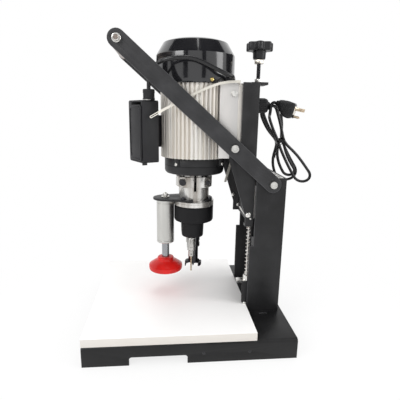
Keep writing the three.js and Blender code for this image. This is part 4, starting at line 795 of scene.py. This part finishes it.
def make_tie():
    """The wire wound round the hank's waist, with its loose tail."""
    points = []
    for k in range(TIE_TURNS * TIE_STEPS + 1):
        x, y = polar(1, 360 * k / TIE_STEPS)
        power = (abs(x) ** 4 + abs(y) ** 4) ** 0.25
        along = TIE_HEIGHT * (k / (TIE_TURNS * TIE_STEPS) - 0.5)
        side = Vector((0, TIE_HALF_DEPTH * y / power, 0))
        points.append(HANK_CENTRE + HANK_ACROSS * TIE_HALF_WIDTH * x / power + side + HANK_ALONG * along)
    out = points.pop()
    tail = [out, *(out - HANK_ACROSS * back + Vector((0, y, z)) for back, y, z in TIE_TAIL)]
    tie = solid_wire("hank_tie_wire", [*points, *smooth_path(tail, 6)], TIE_RADIUS, 3)
    return finished(tie, "cord", "carriage", ["hank_tie"])


def make_plug():
    """Moulded plug with a ribbed neck, finger grips, a pale face plate, two blades and the earth pin."""
    body = rounded(pushed("mains_plug_body", "xz", [
        (6.5, -7.5), (17.2, -19.3), (22.5, -22.5), (31.5, -24.3), (37.5, -22), (40.1, -17),
        (40.9, 5.5), (37.5, 7.4), (24, 9.2), (14.5, 8.8), (6.5, 7.5),
    ], -10.5, 10.5), 2.6, 4, 30)
    for side, _ in SIDES:
        low, high = sorted((side * 9.9, side * 12.5))
        for k, x in enumerate((17.5, 22.5, 27.5)):
            cut(body, block("grip", (x, low, k - 14), (x + 2, high, 3)))
    profile = [(3.9, 0)]
    for base, radius in ((0.7, 4.6), (3.5, 5.2)):
        ring = ((0, 0), (1, 0.4), (1, 1.6), (0.2, 2))
        profile += [(radius + out, base + up) for out, up in ring]
    neck = placed(turned("mains_plug_neck", [*profile, (7.2, 7.1)], sides=40), (0, 0, 0), RIGHT)
    face = rounded(block("mains_plug_face", (39.1, -8.4, -15), (41.5, 8.4, 2.4)), 0.9, 3)
    boss = rounded(block("mains_plug_boss", (39.3, -3.6, -21.6), (41.7, 3.6, -14.6)), 0.8, 3)
    pins = []
    for y in (-6.35, 6.35):
        blade = rounded(block("blade", (40, y - 0.75, -6.15), (58.5, y + 0.75, 0.15)), 0.5)
        pins.append(cut(blade, cross_drill(1.5, 54, -3, y - 2, y + 2)))
    earth = turned("earth", [(2.4, 40), (2.4, 50.5), (1.9, 52.4), (0.9, 53.4)], sides=28)
    pins = joined("mains_plug_pins", [*pins, placed(earth, (0, 0, -18), RIGHT)])
    for piece, finish, nodes in (
        (body, "cord", ["mains_plug"]), (neck, "cord", ()), (boss, "cord", ()), (face, "nylon", ()),
        (pins, "copper", ()),
    ):
        finished(moved(piece, PLUG_PLACE), finish, "carriage", nodes)
    return [body, neck, face, boss, pins]


def make_mains_cord():
    line = cord_line()
    cord = wire("mains_cord_run", line, CORD_RADIUS)
    coat(cord, "cord")
    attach(cord, "carriage")
    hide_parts("mains_cord", "cord_hank")
    tie, plug = make_tie(), make_plug()


# Stand

BASE_HOLES = ((21, 18.4), (104.5, 18.4))
# Below this level the spring bracket is coated black as painted shade.
BRACKET_LEG_TOP = 101.5
SPRING_COILS, COIL_STEPS = 15, 32
END_SHARE, END_RISE = 1.5 / SPRING_COILS, 0.045


def make_stand(sizes):
    edge = sizes.sheet_edge / MM
    base = from_solid("base_channel", "base_sheet")
    cut(base, *(block("slot", (145, y, 35), (159, y + 3.5, 40)) for y in (-81.5, 78)))
    highlight_edges(finished(rounded(base, edge), "base", "stand", ["base_channel"]), edge)
    highlight_edges(dressed("column_channel", "column_sheet", "paint", "stand", edge), edge)
    dressed("stop_plate", "stop_plate_top", "zinc", "stand", 0.4)
    bracket = dressed("spring_bracket", "spring_bracket_sheet", "zinc", "stand", 0.3)
    # Faces below the leg's top are coated black: painted shade.
    recoloured(bracket, "paint", lambda polygon: polygon.center.z < BRACKET_LEG_TOP * MM)
    low, high, _ = solid_box("work_board")
    board = rounded(block("board_panel", low, high), 0.7, 3)
    finished(board, "board", "stand", ["work_board"])
    # The side faces take the edge band, whose darkness is painted shade.
    recoloured(board, "edge", lambda polygon: abs(polygon.normal.z) < 0.7)
    # Dark slotted heads on the front flange stand for the dark insides of its holes: painted shade.
    plugs = [placed(slotted_head(2.6, 1.2), (x, -168.6, z), NEAR) for x, z in BASE_HOLES]
    assembled("base_hole_shade_plugs", plugs, "dark", "stand")
    placed(slotted_head(3.4, 2), (114.6, -67.4, 57), NEAR)
    finished(named("bracket_screw"), "zinc", "stand")
    for node in ("guide_rod_near", "guide_rod_far"):
        low, high, middle = solid_box(node)
        radius = (high.x - low.x) / 2
        rod = turned(node + "_ground", [
            (radius - 0.6, low.z), (radius, low.z + 0.6), (radius, high.z - 0.6), (radius - 0.6, high.z),
        ], middle, 48)
        finished(rod, "paint", "stand", [node], slot="dark_steel")


def spring_rise(share):
    """How far up the spring a share of its wire has come: its end coils lie close together."""
    if share < END_SHARE:
        return share / END_SHARE * END_RISE
    if share > 1 - END_SHARE:
        return 1 - (1 - share) / END_SHARE * END_RISE
    return END_RISE + (share - END_SHARE) / (1 - 2 * END_SHARE) * (1 - 2 * END_RISE)


def make_spring(sizes):
    low, high, middle = solid_box("return_spring")
    half = sizes.spring_wire / MM / 2
    count = SPRING_COILS * COIL_STEPS
    points = []
    for k in range(count + 1):
        height = low.z + half + (high.z - low.z - 2 * half) * spring_rise(k / count)
        points.append(Vector((*polar((high.x - low.x) / 2 - half, 360 * k / COIL_STEPS, middle), height)))
    spring = solid_wire("return_spring_coil", points, half, 3)
    finished(spring, "wire", "carriage", ["return_spring"])
    dressed("spring_rod", "spring_guide_rod", "zinc", "stand", 0.25)


# Motor

COWL_PROFILE = [
    (71.4, 488), (72.6, 489.4), (73.2, 492), (75, 500), (75, 537.4), (74.8, 538.9), (74.2, 540.2),
    (73.6, 541.3), (62, 560.4), (61.2, 561.3), (60, 562), (52, 564.6), (30, 566), (6, 566.4),
]
COWL_WALL = 2.4
COWL_MESH_RADIUS = 44
FIN_PROFILE = (
    (0.0, 66.6), (0.1, 67), (0.42, 67), (0.52, 66.5), (0.62, 64.2), (0.72, 63.5), (0.82, 63.7), (0.92, 64.9),
)
HOUSING_BORE = 59
BELL_SCREW_TURN, COWL_SCREW_TURN = 233, 289
LEAD_RADIUS = 3.6
LEAD_ROUTE = [
    (-87.7, -44, 476.6), (-87.6, -44.3, 485), (-86.3, -49, 496), (-83, -57.5, 505.5), (-79, -64, 511),
    (-74, -67.7, 515.3), (-66.3, -69.5, 519.9), (-56.3, -75.5, 522.9), (-39.5, -81, 525.2),
    (-19.9, -82.5, 525.8), (-7.4, -82.5, 523.9), (6.3, -82.5, 519.5), (21.9, -82, 512.7), (41.2, -81, 504.2),
    (56.5, -76, 498.7), (60.3, -71, 497.9), (62.3, -64.5, 496.4), (64, -58, 494.5), (64.9, -54, 492.3),
    (65.6, -50.5, 489), (66, -48.4, 484.4), (66.2, -47.9, 480.6), (64.6, -46.8, 473.4), (60.3, -43.7, 468),
    (54.9, -39.7, 466.1),
]


def motor_screws(name, finish, radius, first, reach, level):
    """Four slotted screws round the motor, their heads outwards."""
    heads = []
    for k in range(4):
        outwards = Vector((*polar(1, first + 90 * k), 0))
        centre = Vector((MOTOR_X, 0, level)) + outwards * reach
        heads.append(placed(slotted_head(radius, 2.4), centre, outwards))
    assembled(name, heads, finish)


def make_motor(sizes):
    cowl = shell("cowl_spun", COWL_PROFILE, MOTOR_AXIS, COWL_WALL, 112)
    for y in range(-32, 33, 16):
        half = math.sqrt(COWL_MESH_RADIUS**2 - y**2)
        cut(cowl, block("slot", (MOTOR_X - half, y - 3.2, 552), (MOTOR_X + half, y + 3.2, 570)))
    finished(cowl, "cowl", "carriage", ["fan_cowl"], smooth=14)

    outline = [
        polar(radius, 360 * (k + share) / sizes.fins, MOTOR_AXIS)
        for k in range(sizes.fins) for share, radius in FIN_PROFILE
    ]
    housing = pushed("housing_fins", "xy", outline, HOUSING_FOOT, HOUSING_TOP)
    bore = [(HOUSING_BORE, HOUSING_FOOT - 2), (HOUSING_BORE, HOUSING_TOP - 14)]
    cut(housing, turned("bore", bore, MOTOR_AXIS, 64))
    finished(housing, "housing", "carriage", ["motor_housing"], smooth=40)

    bell = turned("bell_skirt", [
        (51, 319.2), (53, 318.5), (56.4, 319.2), (58.6, 321.6), (59.5, 325), (59.5, 334.6), (58.9, 335.2),
        (59.5, 335.8), (59.5, 349.6), (58.8, 350.7),
    ], MOTOR_AXIS, 96)
    finished(bell, "paint", "carriage", ["end_bell"])
    lug = [(4.4, 336), (5.2, 337.6), (5.2, 350.4)]
    lugs = [turned("lug", lug, polar(59.2, BELL_SCREW_TURN + 90 * k, MOTOR_AXIS), 28) for k in range(4)]
    assembled("bell_lugs", lugs, "paint")
    motor_screws("bell_screws", "zinc", 3.1, BELL_SCREW_TURN, 63.6, 340)
    motor_screws("cowl_screws", "brass", 3.6, COWL_SCREW_TURN, 73.4, 493)

    dressed("motor_mount", "mount_channel", "mount", "carriage", 0.7, 3)
    bolts, strips = [], []
    for side, _ in SIDES:
        for z in (470, 378):
            washer = turned("washer", [(6, -1.2), (6.4, -0.8), (6.4, 0)], sides=36)
            stack = joined("bolt", [hexagon("bolt", 9, 5.5, chamfer=0.5), washer])
            bolts.append(placed(stack, (78.5, side * 63.7, z), (0, side, 0)))
        y = side * 62.85
        # Light metal strips by the mount's cheeks: a folded edge, and a painted highlight along it.
        strips.append(rounded(block("strip", (86.6, y - 0.55, 353.2), (93.6, y + 0.55, 488)), 0.4, 3))
    assembled("mount_bolts", bolts, "zinc")
    assembled("mount_edge_highlight_strips", strips, "strip")

    lead = solid_wire("motor_lead_sheath", smooth_path(laid(MOTOR_X, LEAD_ROUTE), 7), LEAD_RADIUS, 7)
    finished(lead, "cord", "carriage", ["motor_lead"])
    dressed("motor_strap", "strap_band", "nylon", "carriage", 0.25)


# Capacitor box, modelled with its face outwards along x and then moved to the motor's side

BOX_PLACE = Matrix.Translation((MOTOR_X * MM, 0, 0)) @ Matrix.Rotation(math.pi + 0.507, 4, "Z")


def box_detail(piece, finish="plastic", nodes=()):
    finished(moved(piece, BOX_PLACE), finish, "carriage", nodes)


def make_box():
    dressed("capacitor_box", "box_tray", "plastic", "carriage", 0.8, 3)
    dressed("box_lid", "box_cover", "plastic", "carriage", 1.0, 3)
    ribs = [block("rib", (122, y, 354), (123.6, y + 1.4, 442)) for y in (-34.6, 8.4)]
    ribs += [block("rib", (122, -31, z - 0.8), (123.4, 5, z + 0.8)) for z in (351, 445)]
    box_detail(joined("box_cover_ribs", [rounded(rib, 0.4) for rib in ribs]))
    box_detail(rounded(block("box_tab", (111, 8.4, 340.4), (120, 12, 345)), 0.6))
    screws = [placed(slotted_head(2.3, 1.4), (122.4, y, z), RIGHT) for y in (6.4, -33) for z in (440, 358)]
    box_detail(joined("box_screws", screws), "dark")
    gland = turned("box_gland_body", [
        (10.4, 456.3), (11, 457), (11, 460), (10.4, 460.6), (10.4, 468.4), (10.8, 469), (10.8, 474.6),
        (10, 475.6), (6, 476), (4.2, 476.3),
    ], (98, -4), 56)
    box_detail(gland, nodes=["box_gland"])
    box_detail(rounded(block("box_clip", (101, 1, 456.2), (112, 9, 457.4)), 0.3), "zinc")
    dressed("power_switch", "switch_rocker", "switch", "switch", 0.6, 3)
    bezel = block("switch_bezel", (95.4, -46.6, 371.6), (111.2, -45.2, 396.4))
    cut(bezel, block("opening", (96.4, -48, 372.9), (110.2, -44, 395.1)))
    box_detail(rounded(bezel, 0.35))


# Drill head

CASE_NOSE_RADIUS, CASE_NOSE_SHIFT = 24, 12
CASE_NOSE_AXIS = (MOTOR_X - 3, 0)


def make_head():
    dressed("clamp_hub", "hub_casting", "hub", "carriage", 0.9, 3, 34)
    rim = [polar(30.8, turn, MOTOR_AXIS) for turn in range(-97, -49, 3)]
    foot = pushed("hub_foot", "xy", [*rim, (32.6, -20.3), (9.3, -20.3)], 262.1, 266.4)
    finished(foot, "hub", "carriage")
    screws = [
        placed(socket_head(radius, 2.2), (MOTOR_X + shift, -30.4, 301.5), NEAR)
        for shift, radius in ((-25, 6.4), (25, 4.6))
    ]
    assembled("hub_screws", screws, "dark")
    dressed("presser_plate", "plate_sheet", "paint", "carriage")
    places = ((-10.5, -26), (43, -22), (-10.5, 26), (43, 22))
    screws = [placed(socket_head(3.6, 4.2), (*place, 266.2)) for place in places]
    assembled("plate_screws", screws, "dark")

    flange = turned("flange_disc", [
        (40.2, 251.3), (41, 252), (41, 257.2), (40.3, 257.6), (40.3, 258.3), (41, 258.7), (41, 261.3),
        (40.4, 262),
    ], MOTOR_AXIS, 96)
    finished(flange, "hub", "carriage", ["head_flange"], slot="bright_steel")
    shoulder = turned("shoulder", [
        (31, 217.7), (37, 217.8), (39.3, 218.9), (40.5, 221.4), (40.5, 248.6), (39.8, 249.4), (40.5, 250.1),
        (40.5, 250.7), (39.8, 251),
    ], MOTOR_AXIS, 96)
    outline = []
    for k in range(48):
        x, y = polar(CASE_NOSE_RADIUS, 360 * (k + 0.5) / 48, CASE_NOSE_AXIS)
        outline.append((x, y + math.copysign(CASE_NOSE_SHIFT, y)))
    nose = stepped("nose", outline, CASE_NOSE_AXIS, [
        (0.84, 186.9), (0.89, 186.3), (0.915, 187.1), (0.93, 188.9), (0.965, 211.6), (0.972, 212.8),
        (1.0, 213.4), (1.0, 219.4),
    ])
    assembled("case_shell", [shoulder, nose], "case", nodes=["gear_case"])


# Spindles

SIDE_SPINDLE_X, SIDE_SPINDLE_Y = MOTOR_X - 6, 24
TWIST_RADIUS, TWIST_SIDES = 1.7, 16
TWIST_WEB, TWIST_FLUTE = 0.74, 0.7
TWIST_FOOT, TWIST_LENGTH, TWIST_DEGREES = 112.5, 34, 26


def make_wing(turn):
    """One cutting half of the hinge bit: its wing, heel, spur and web."""
    wing = rounded(pushed("wing", "xz", [
        (-4, 124.6), (17.5, 124.6), (17.5, 113.6), (16.4, 113.6), (15.6, 119.4), (6.5, 120.6), (-4, 118.6),
    ], -4.2, -1.2), 0.25)
    heel = rounded(pushed("heel", "xz", [(0, 124), (14.6, 124), (12.4, 127.6), (0, 131)], -4.2, 0.4), 0.4)
    rim = [polar(17.45, -14 - 7 * k) for k in range(9)] + [polar(14.6, -70 + 7 * k) for k in range(9)]
    spur = pushed("spur", "xy", rim, 116.6, 124.4)
    web = pushed("web", "xy", [(2, -4), (14.8, -3.6), (11.4, -9.6), (2, -7)], 120.6, 124.4)
    half = joined("half", [rounded(piece, 0.2, 1) for piece in (wing, heel, spur, web)])
    return placed(half, (MOTOR_X, 0, 0), UP, math.radians(turn))


def make_twist_drill(name, centre):
    """A two-fluted drill, twisted as it is raised a millimetre at a time."""
    piece = circle(name, TWIST_SIDES, TWIST_RADIUS)
    for vertex in piece.data.vertices:
        turn = math.atan2(vertex.co.y, vertex.co.x)
        vertex.co *= TWIST_WEB + (1 - TWIST_WEB) * abs(math.cos(turn)) ** TWIST_FLUTE
    open_edit()
    foot = Vector((*centre, TWIST_FOOT)) * MM
    bpy.ops.transform.translate(value=foot)
    for k in range(TWIST_LENGTH):
        bpy.ops.mesh.extrude_region_move(TRANSFORM_OT_translate={"value": (0, 0, MM)})
        pivot = (foot.x, foot.y, foot.z + MM * (k + 1))
        bpy.ops.transform.rotate(value=math.radians(TWIST_DEGREES), orient_axis="Z", center_override=pivot)
    close_edit()
    tip = turned("tip", [(0.2, TWIST_FOOT - 1), (0.55, TWIST_FOOT + 0.1)], centre, 12)
    return joined(name, [piece, tip])


def make_spindles():
    chuck = turned("chuck_body", [
        (12, 158.6), (13.2, 159.4), (13.5, 160.2), (13.5, 166.6), (12.6, 167.4), (12.6, 171.6), (13.5, 172.4),
        (13.5, 182.6), (11.6, 184.2), (11.6, 219),
    ], MOTOR_AXIS, 64)
    screw = placed(socket_head(2.6, 1.2), (MOTOR_X, -13, 162.8), NEAR)
    assembled("chuck", [chuck, screw], "dark", "main_spindle", ["centre_spindle"])
    shank = turned("shank", [
        (9.6, 122.4), (10.3, 123.2), (10.3, 144.6), (9.7, 145.2), (10.3, 145.8), (10.3, 158.2),
    ], MOTOR_AXIS, 56)
    point = turned("point", [(0.35, 112.6), (2, 116.6), (2, 124)], MOTOR_AXIS, 24)
    bit = joined("hinge_bit", [shank, make_wing(18), make_wing(198), point])
    finished(bit, "dark", "main_spindle", ["boring_bit"])

    for side, label in SIDES:
        y = side * SIDE_SPINDLE_Y
        holder = turned("holder_" + label, [
            (5.6, 145.6), (6.2, 146.2), (6.2, 157.2), (7.4, 158.6), (8.2, 159.4), (8.2, 166), (7.8, 166.5),
            (8.2, 167), (8.2, 184.4), (7.6, 185.4), (5.8, 185.8), (5.8, 219),
        ], (SIDE_SPINDLE_X, y), 56)
        cut(holder, cross_drill(1.7, SIDE_SPINDLE_X, 151, y - 8, y - 3))
        finished(holder, "bright", label + "_spindle", ["side_spindle_" + label])
        bit = make_twist_drill("drill_" + label, (SIDE_SPINDLE_X, y))
        finished(bit, "drill", label + "_spindle", ["dowel_bit_" + label])


# Presser

def make_presser():
    x, y = PRESSER_AXIS
    tube = turned("presser_sleeve", [
        (9, 170), (17.2, 170), (18, 170.8), (18, 174.4), (17.5, 174.9), (18, 175.4), (18, 254.6),
        (17.5, 255.1), (18, 255.6), (18, 261.2), (17.2, 262),
    ], PRESSER_AXIS, 80)
    finished(tube, "tube", "carriage", ["presser_tube"])
    washer = turned("washer", [(8.2, 266.2), (8.6, 266.6), (8.6, 267.6), (8.2, 268)], PRESSER_AXIS, 40)
    nut = placed(hexagon("nut", 10, 6), (x, y, 268))
    stud = turned("stud", [(2.8, 272), (3, 272.4), (3, 275), (2.4, 275.8)], PRESSER_AXIS, 28)
    assembled("presser_nut", [washer, nut, stud], "zinc")
    low, high, _ = solid_box("presser_rod")
    profile = [(7, low.z), (7.8, low.z + 0.8), (7.8, high.z - 0.8), (7, high.z)]
    finished(turned("presser_piston", profile, PRESSER_AXIS, 56), "rod", "presser", ["presser_rod"])
    foot = turned("foot_pad", [
        (27, 109.4), (33.2, 108.9), (34.7, 109.5), (35.3, 110.8), (35.5, 112.6), (35.5, 117.4), (35.2, 118.6),
        (34.4, 119.3), (33.6, 119.6), (33, 120.2), (29.6, 122.9), (25, 126), (20.6, 128.4), (18.4, 129.3),
        (17.8, 129.9), (17.5, 131), (17.3, 133.6), (16.6, 135), (15.2, 135.8), (9, 136.2),
    ], PRESSER_AXIS, 128)
    finished(foot, "red", "presser", ["presser_foot"])


# Carriage

GLAND_CENTRE = (0, 30, 452)
GLAND_FINS = 18


def make_carriage(sizes):
    edge = sizes.sheet_edge / MM
    highlight_edges(dressed("carriage_channel", "carriage_sheet", "paint", "carriage", edge), edge)
    dressed("guide_block", "guide_block_milled", "mount", "carriage", 0.6)
    bolts = []
    for x, z, radius, wells in ((113.6, 244.5, 5.4, 1), (118.6, 236.6, 2.0, 0)):
        for side, _ in SIDES:
            bolts.append(placed(pan_head(radius, radius * 0.62, wells), (x, side * 66.7, z), (0, side, 0)))
    for x, z in ((107.9, 256.8), (119.9, 233.3)):
        bolts.append(placed(pan_head(4.4, 2.8, 1), (x, 62.8, z), NEAR))
    assembled("carriage_bolts", bolts, "zinc")
    # A pale nylon-coated band along the far plate's inner face, below the motor mount.
    tail = [(96.4, 329), (101.4, 329), (90.4, 286), (85.4, 286)]
    finished(rounded(pushed("far_plate_pale_band", "xz", tail, 58.6, 62.7), 0.4), "nylon", "carriage")
    # A thin zinc sliver behind the near plate's gusset edge: a painted highlight along that edge.
    shim = [(95.4, 260.6), (98.6, 260.6), (111.6, 238.6), (110.4, 238.6)]
    finished(rounded(pushed("gusset_edge_highlight", "xz", shim, -62.8, -61.4), 0.25), "zinc", "carriage")
    finished(placed(hexagon("lug_nut", 13, 6.8), (DEPTH_X, 0, 494.6), UP, 0.3), "zinc", "carriage")

    gland = placed(turned("gland", [
        (14.4, 125), (15.1, 126), (15.5, 127.4), (15.5, 141.2), (14.9, 142.6), (14.4, 143.2), (14.5, 144.6),
        (14.5, 160), (14.1, 163), (12.6, 165.4), (9.4, 166.6), (8, 167.4), (8, 169.4), (7, 170.5),
    ], sides=64), GLAND_CENTRE, RIGHT)
    centre = Matrix.Translation(Vector(GLAND_CENTRE) * MM)
    fins = []
    for k in range(GLAND_FINS):
        fin = rounded(block("fin", (145.5, -1.1, 13.6), (160.5, 1.1, 15.2)), 0.3, 1)
        fins.append(moved(fin, centre @ Matrix.Rotation(2 * math.pi * k / GLAND_FINS, 4, "X")))
    assembled("mains_gland_body", [gland, *fins], "plastic", nodes=["mains_gland"])


# Depth stop

ROD_BOTTOM, ROD_TOP, ROD_PITCH = 369.3, 552, 1.25
THREAD = ((3.95, 0.35), (3.95, 0.6), (3.4, 0.98), (3.4, ROD_PITCH))
STAR_STEPS, STAR_LOBES = 126, 7
STAR_VALLEY, STAR_RISE = 20.6, 5.4


def make_depth_stop():
    axis = (DEPTH_X, 0)
    height = ROD_BOTTOM
    rings = [(3.3, height)]
    while height < ROD_TOP - ROD_PITCH:
        rings += [(radius, height + rise) for radius, rise in THREAD]
        height += ROD_PITCH
    rod = turned("threaded_rod", [*rings, (3.3, ROD_TOP)], axis, 28)
    finished(rod, "dark", "depth_stop", ["depth_rod"], smooth=60)
    nut = placed(hexagon("jam_nut_plated", 16.4, 8, 3.9, 0.7), (DEPTH_X, 0, 529.3), UP, 0.45)
    finished(nut, "nickel", "depth_knob", ["jam_nut"])
    hub = turned("hub", [(10.6, 537.7), (11.6, 538.2), (12.1, 540), (12.5, 549), (13.2, 553.5)], axis, 64)
    outline = []
    for k in range(STAR_STEPS):
        turn = 360 * k / STAR_STEPS
        wave = 0.5 + 0.5 * math.cos(math.radians(STAR_LOBES * turn))
        outline.append(polar(STAR_VALLEY + STAR_RISE * wave**0.8, turn, axis))
    star = rounded(pushed("star", "xy", outline, 552.6, 568), 2.2, 4, 50)
    assembled("star_grip", [hub, star], "knob", "depth_knob", ["star_knob"], smooth=40)


# Lever

def make_lever():
    for _, side in SIDES:
        highlight_edges(dressed("lever_arm_" + side, "lever_" + side, "arm", "lever", 0.6), 0.6)
    for sign, side in SIDES:
        at = solid_box("handle_nut_" + side)[2]
        at.y = sign * ARM_FACE
        outwards = (0, sign, 0)
        washer = turned("washer", [(7.2, 0), (7.6, 0.3), (7.6, 1.1), (7.2, 1.4)], sides=44)
        nut = placed(hexagon("nut", 12, 6.2, 4.4, 0.8), (0, 0, 1.2), UP, 0.3)
        stack = placed(joined("tip_nut_" + side, [washer, nut]), at, outwards)
        finished(stack, "zinc", "lever", ["handle_nut_" + side])
        stud = turned("tip_stud_" + side, [(4.2, 0), (4.2, 7.4), (3.4, 8)], sides=28)
        finished(placed(stud, at, outwards), "bronze", "lever")
    middle = solid_box("handle_bar")[2]
    grip = turned("handle_grip", [(13.3, -71.8), (14.5, -70.6), (14.5, 70.6), (13.3, 71.8)], sides=56)
    finished(placed(grip, (middle.x, 0, middle.z), (0, 1, 0)), "bronze", "lever", ["handle_bar"])

    for name, node, body, radius in (
        ("link", "link_bolt_", "lever", 7.6), ("pivot", "hinge_bolt_", "stand", 7.2),
    ):
        for sign, side in SIDES:
            at = solid_box(node + side)[2]
            if name == "pivot":
                at.x, at.z = PIVOT_X, PIVOT_Z
            at.y = sign * ARM_FACE
            shank = from_solid(node + side, "shank")
            head = placed(pan_head(radius, 5), at, (0, sign, 0), 0.7)
            assembled(f"{name}_screw_{side}", [shank, head], "zinc", body, [node + side])


# Solids that keep their CAD shape, with their finishes
KEPT_SOLIDS = {
    "gas_spring_tube": "cowl", "gas_spring_rod": "bright", "stator": "winding", "upper_bearing": "bright",
    "lower_bearing": "bright", "capacitor": "nylon", "rotor": "bright", "cooling_fan": "plastic",
    "presser_spring": "zinc",
}


# Operators

class HINGEBORER_OT_camera(bpy.types.Operator):
    """Set the photograph's camera and mix the finishes"""
    bl_idname = "hinge_borer.camera"
    bl_label = "Camera and finishes"

    def execute(self, context):
        set_camera()
        finishes.update(make_finishes(context.scene.machine_colours))
        return {"FINISHED"}


class HINGEBORER_OT_mains_cord(bpy.types.Operator):
    """Lay the mains cord, its tied hank and the plug"""
    bl_idname = "hinge_borer.mains_cord"
    bl_label = "Mains cord"

    def execute(self, context):
        make_mains_cord()
        return {"FINISHED"}


class HINGEBORER_OT_stand(bpy.types.Operator):
    """Dress the base, the column and the work board"""
    bl_idname = "hinge_borer.stand"
    bl_label = "Stand"

    def execute(self, context):
        make_stand(context.scene.machine_sizes)
        return {"FINISHED"}


class HINGEBORER_OT_spring(bpy.types.Operator):
    """Wind the return spring and fit its guide rod"""
    bl_idname = "hinge_borer.spring"
    bl_label = "Return spring"

    def execute(self, context):
        make_spring(context.scene.machine_sizes)
        return {"FINISHED"}


class HINGEBORER_OT_carriage(bpy.types.Operator):
    """Dress the carriage, its guide block and the mains gland"""
    bl_idname = "hinge_borer.carriage"
    bl_label = "Carriage"

    def execute(self, context):
        make_carriage(context.scene.machine_sizes)
        return {"FINISHED"}


class HINGEBORER_OT_motor(bpy.types.Operator):
    """Model the fan cowl, the finned housing, the end bell and the motor lead"""
    bl_idname = "hinge_borer.motor"
    bl_label = "Motor"

    def execute(self, context):
        make_motor(context.scene.machine_sizes)
        return {"FINISHED"}


class HINGEBORER_OT_box(bpy.types.Operator):
    """Model the capacitor box with its lid, gland and switch"""
    bl_idname = "hinge_borer.box"
    bl_label = "Capacitor box"

    def execute(self, context):
        make_box()
        return {"FINISHED"}


class HINGEBORER_OT_head(bpy.types.Operator):
    """Model the clamp hub, the presser plate, the flange and the gear case"""
    bl_idname = "hinge_borer.head"
    bl_label = "Drill head"

    def execute(self, context):
        make_head()
        return {"FINISHED"}


class HINGEBORER_OT_spindles(bpy.types.Operator):
    """Model the chuck, the hinge bit and the two side drills"""
    bl_idname = "hinge_borer.spindles"
    bl_label = "Spindles"

    def execute(self, context):
        make_spindles()
        return {"FINISHED"}


class HINGEBORER_OT_presser(bpy.types.Operator):
    """Model the presser's sleeve, rod and red foot"""
    bl_idname = "hinge_borer.presser"
    bl_label = "Presser"

    def execute(self, context):
        make_presser()
        return {"FINISHED"}


class HINGEBORER_OT_depth_stop(bpy.types.Operator):
    """Model the threaded depth rod, its nut and the star knob"""
    bl_idname = "hinge_borer.depth_stop"
    bl_label = "Depth stop"

    def execute(self, context):
        make_depth_stop()
        return {"FINISHED"}


class HINGEBORER_OT_lever(bpy.types.Operator):
    """Dress the lever, and coat the solids that keep their shape"""
    bl_idname = "hinge_borer.lever"
    bl_label = "Lever"

    def execute(self, context):
        make_lever()
        for node, finish in KEPT_SOLIDS.items():
            coat(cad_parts[node], finish)
        return {"FINISHED"}


class HINGEBORER_OT_stage(bpy.types.Operator):
    """Lay the white floor and hang the softboxes and cards"""
    bl_idname = "hinge_borer.stage"
    bl_label = "Stage"

    def execute(self, context):
        set_stage()
        return {"FINISHED"}


OPERATORS = (
    HINGEBORER_OT_camera, HINGEBORER_OT_mains_cord, HINGEBORER_OT_stand, HINGEBORER_OT_spring,
    HINGEBORER_OT_carriage, HINGEBORER_OT_motor, HINGEBORER_OT_box, HINGEBORER_OT_head,
    HINGEBORER_OT_spindles, HINGEBORER_OT_presser, HINGEBORER_OT_depth_stop, HINGEBORER_OT_lever,
    HINGEBORER_OT_stage,
)


class HINGEBORER_PT_panel(bpy.types.Panel):
    """Lists the machine's pieces in the order they are made"""
    bl_idname = "HINGEBORER_PT_panel"
    bl_label = "Hinge Boring Machine"
    bl_space_type = "VIEW_3D"
    bl_region_type = "UI"
    bl_category = "Hinge Borer"

    def draw(self, context):
        for group in (context.scene.machine_colours, context.scene.machine_sizes):
            for key in group.__annotations__:
                self.layout.prop(group, key)
        for operator in OPERATORS:
            self.layout.operator(operator.bl_idname)


CLASSES = (MachineColours, MachineSizes, *OPERATORS, HINGEBORER_PT_panel)


def register():
    for cls in CLASSES:
        bpy.utils.register_class(cls)
    bpy.types.Scene.machine_colours = bpy.props.PointerProperty(type=MachineColours)
    bpy.types.Scene.machine_sizes = bpy.props.PointerProperty(type=MachineSizes)


def unregister():
    del bpy.types.Scene.machine_sizes
    del bpy.types.Scene.machine_colours
    for cls in reversed(CLASSES):
        bpy.utils.unregister_class(cls)


def main():
    register()
    for operator in OPERATORS:
        group, name = operator.bl_idname.split(".")
        getattr(getattr(bpy.ops, group), name)()


if __name__ == "__main__":
    main()
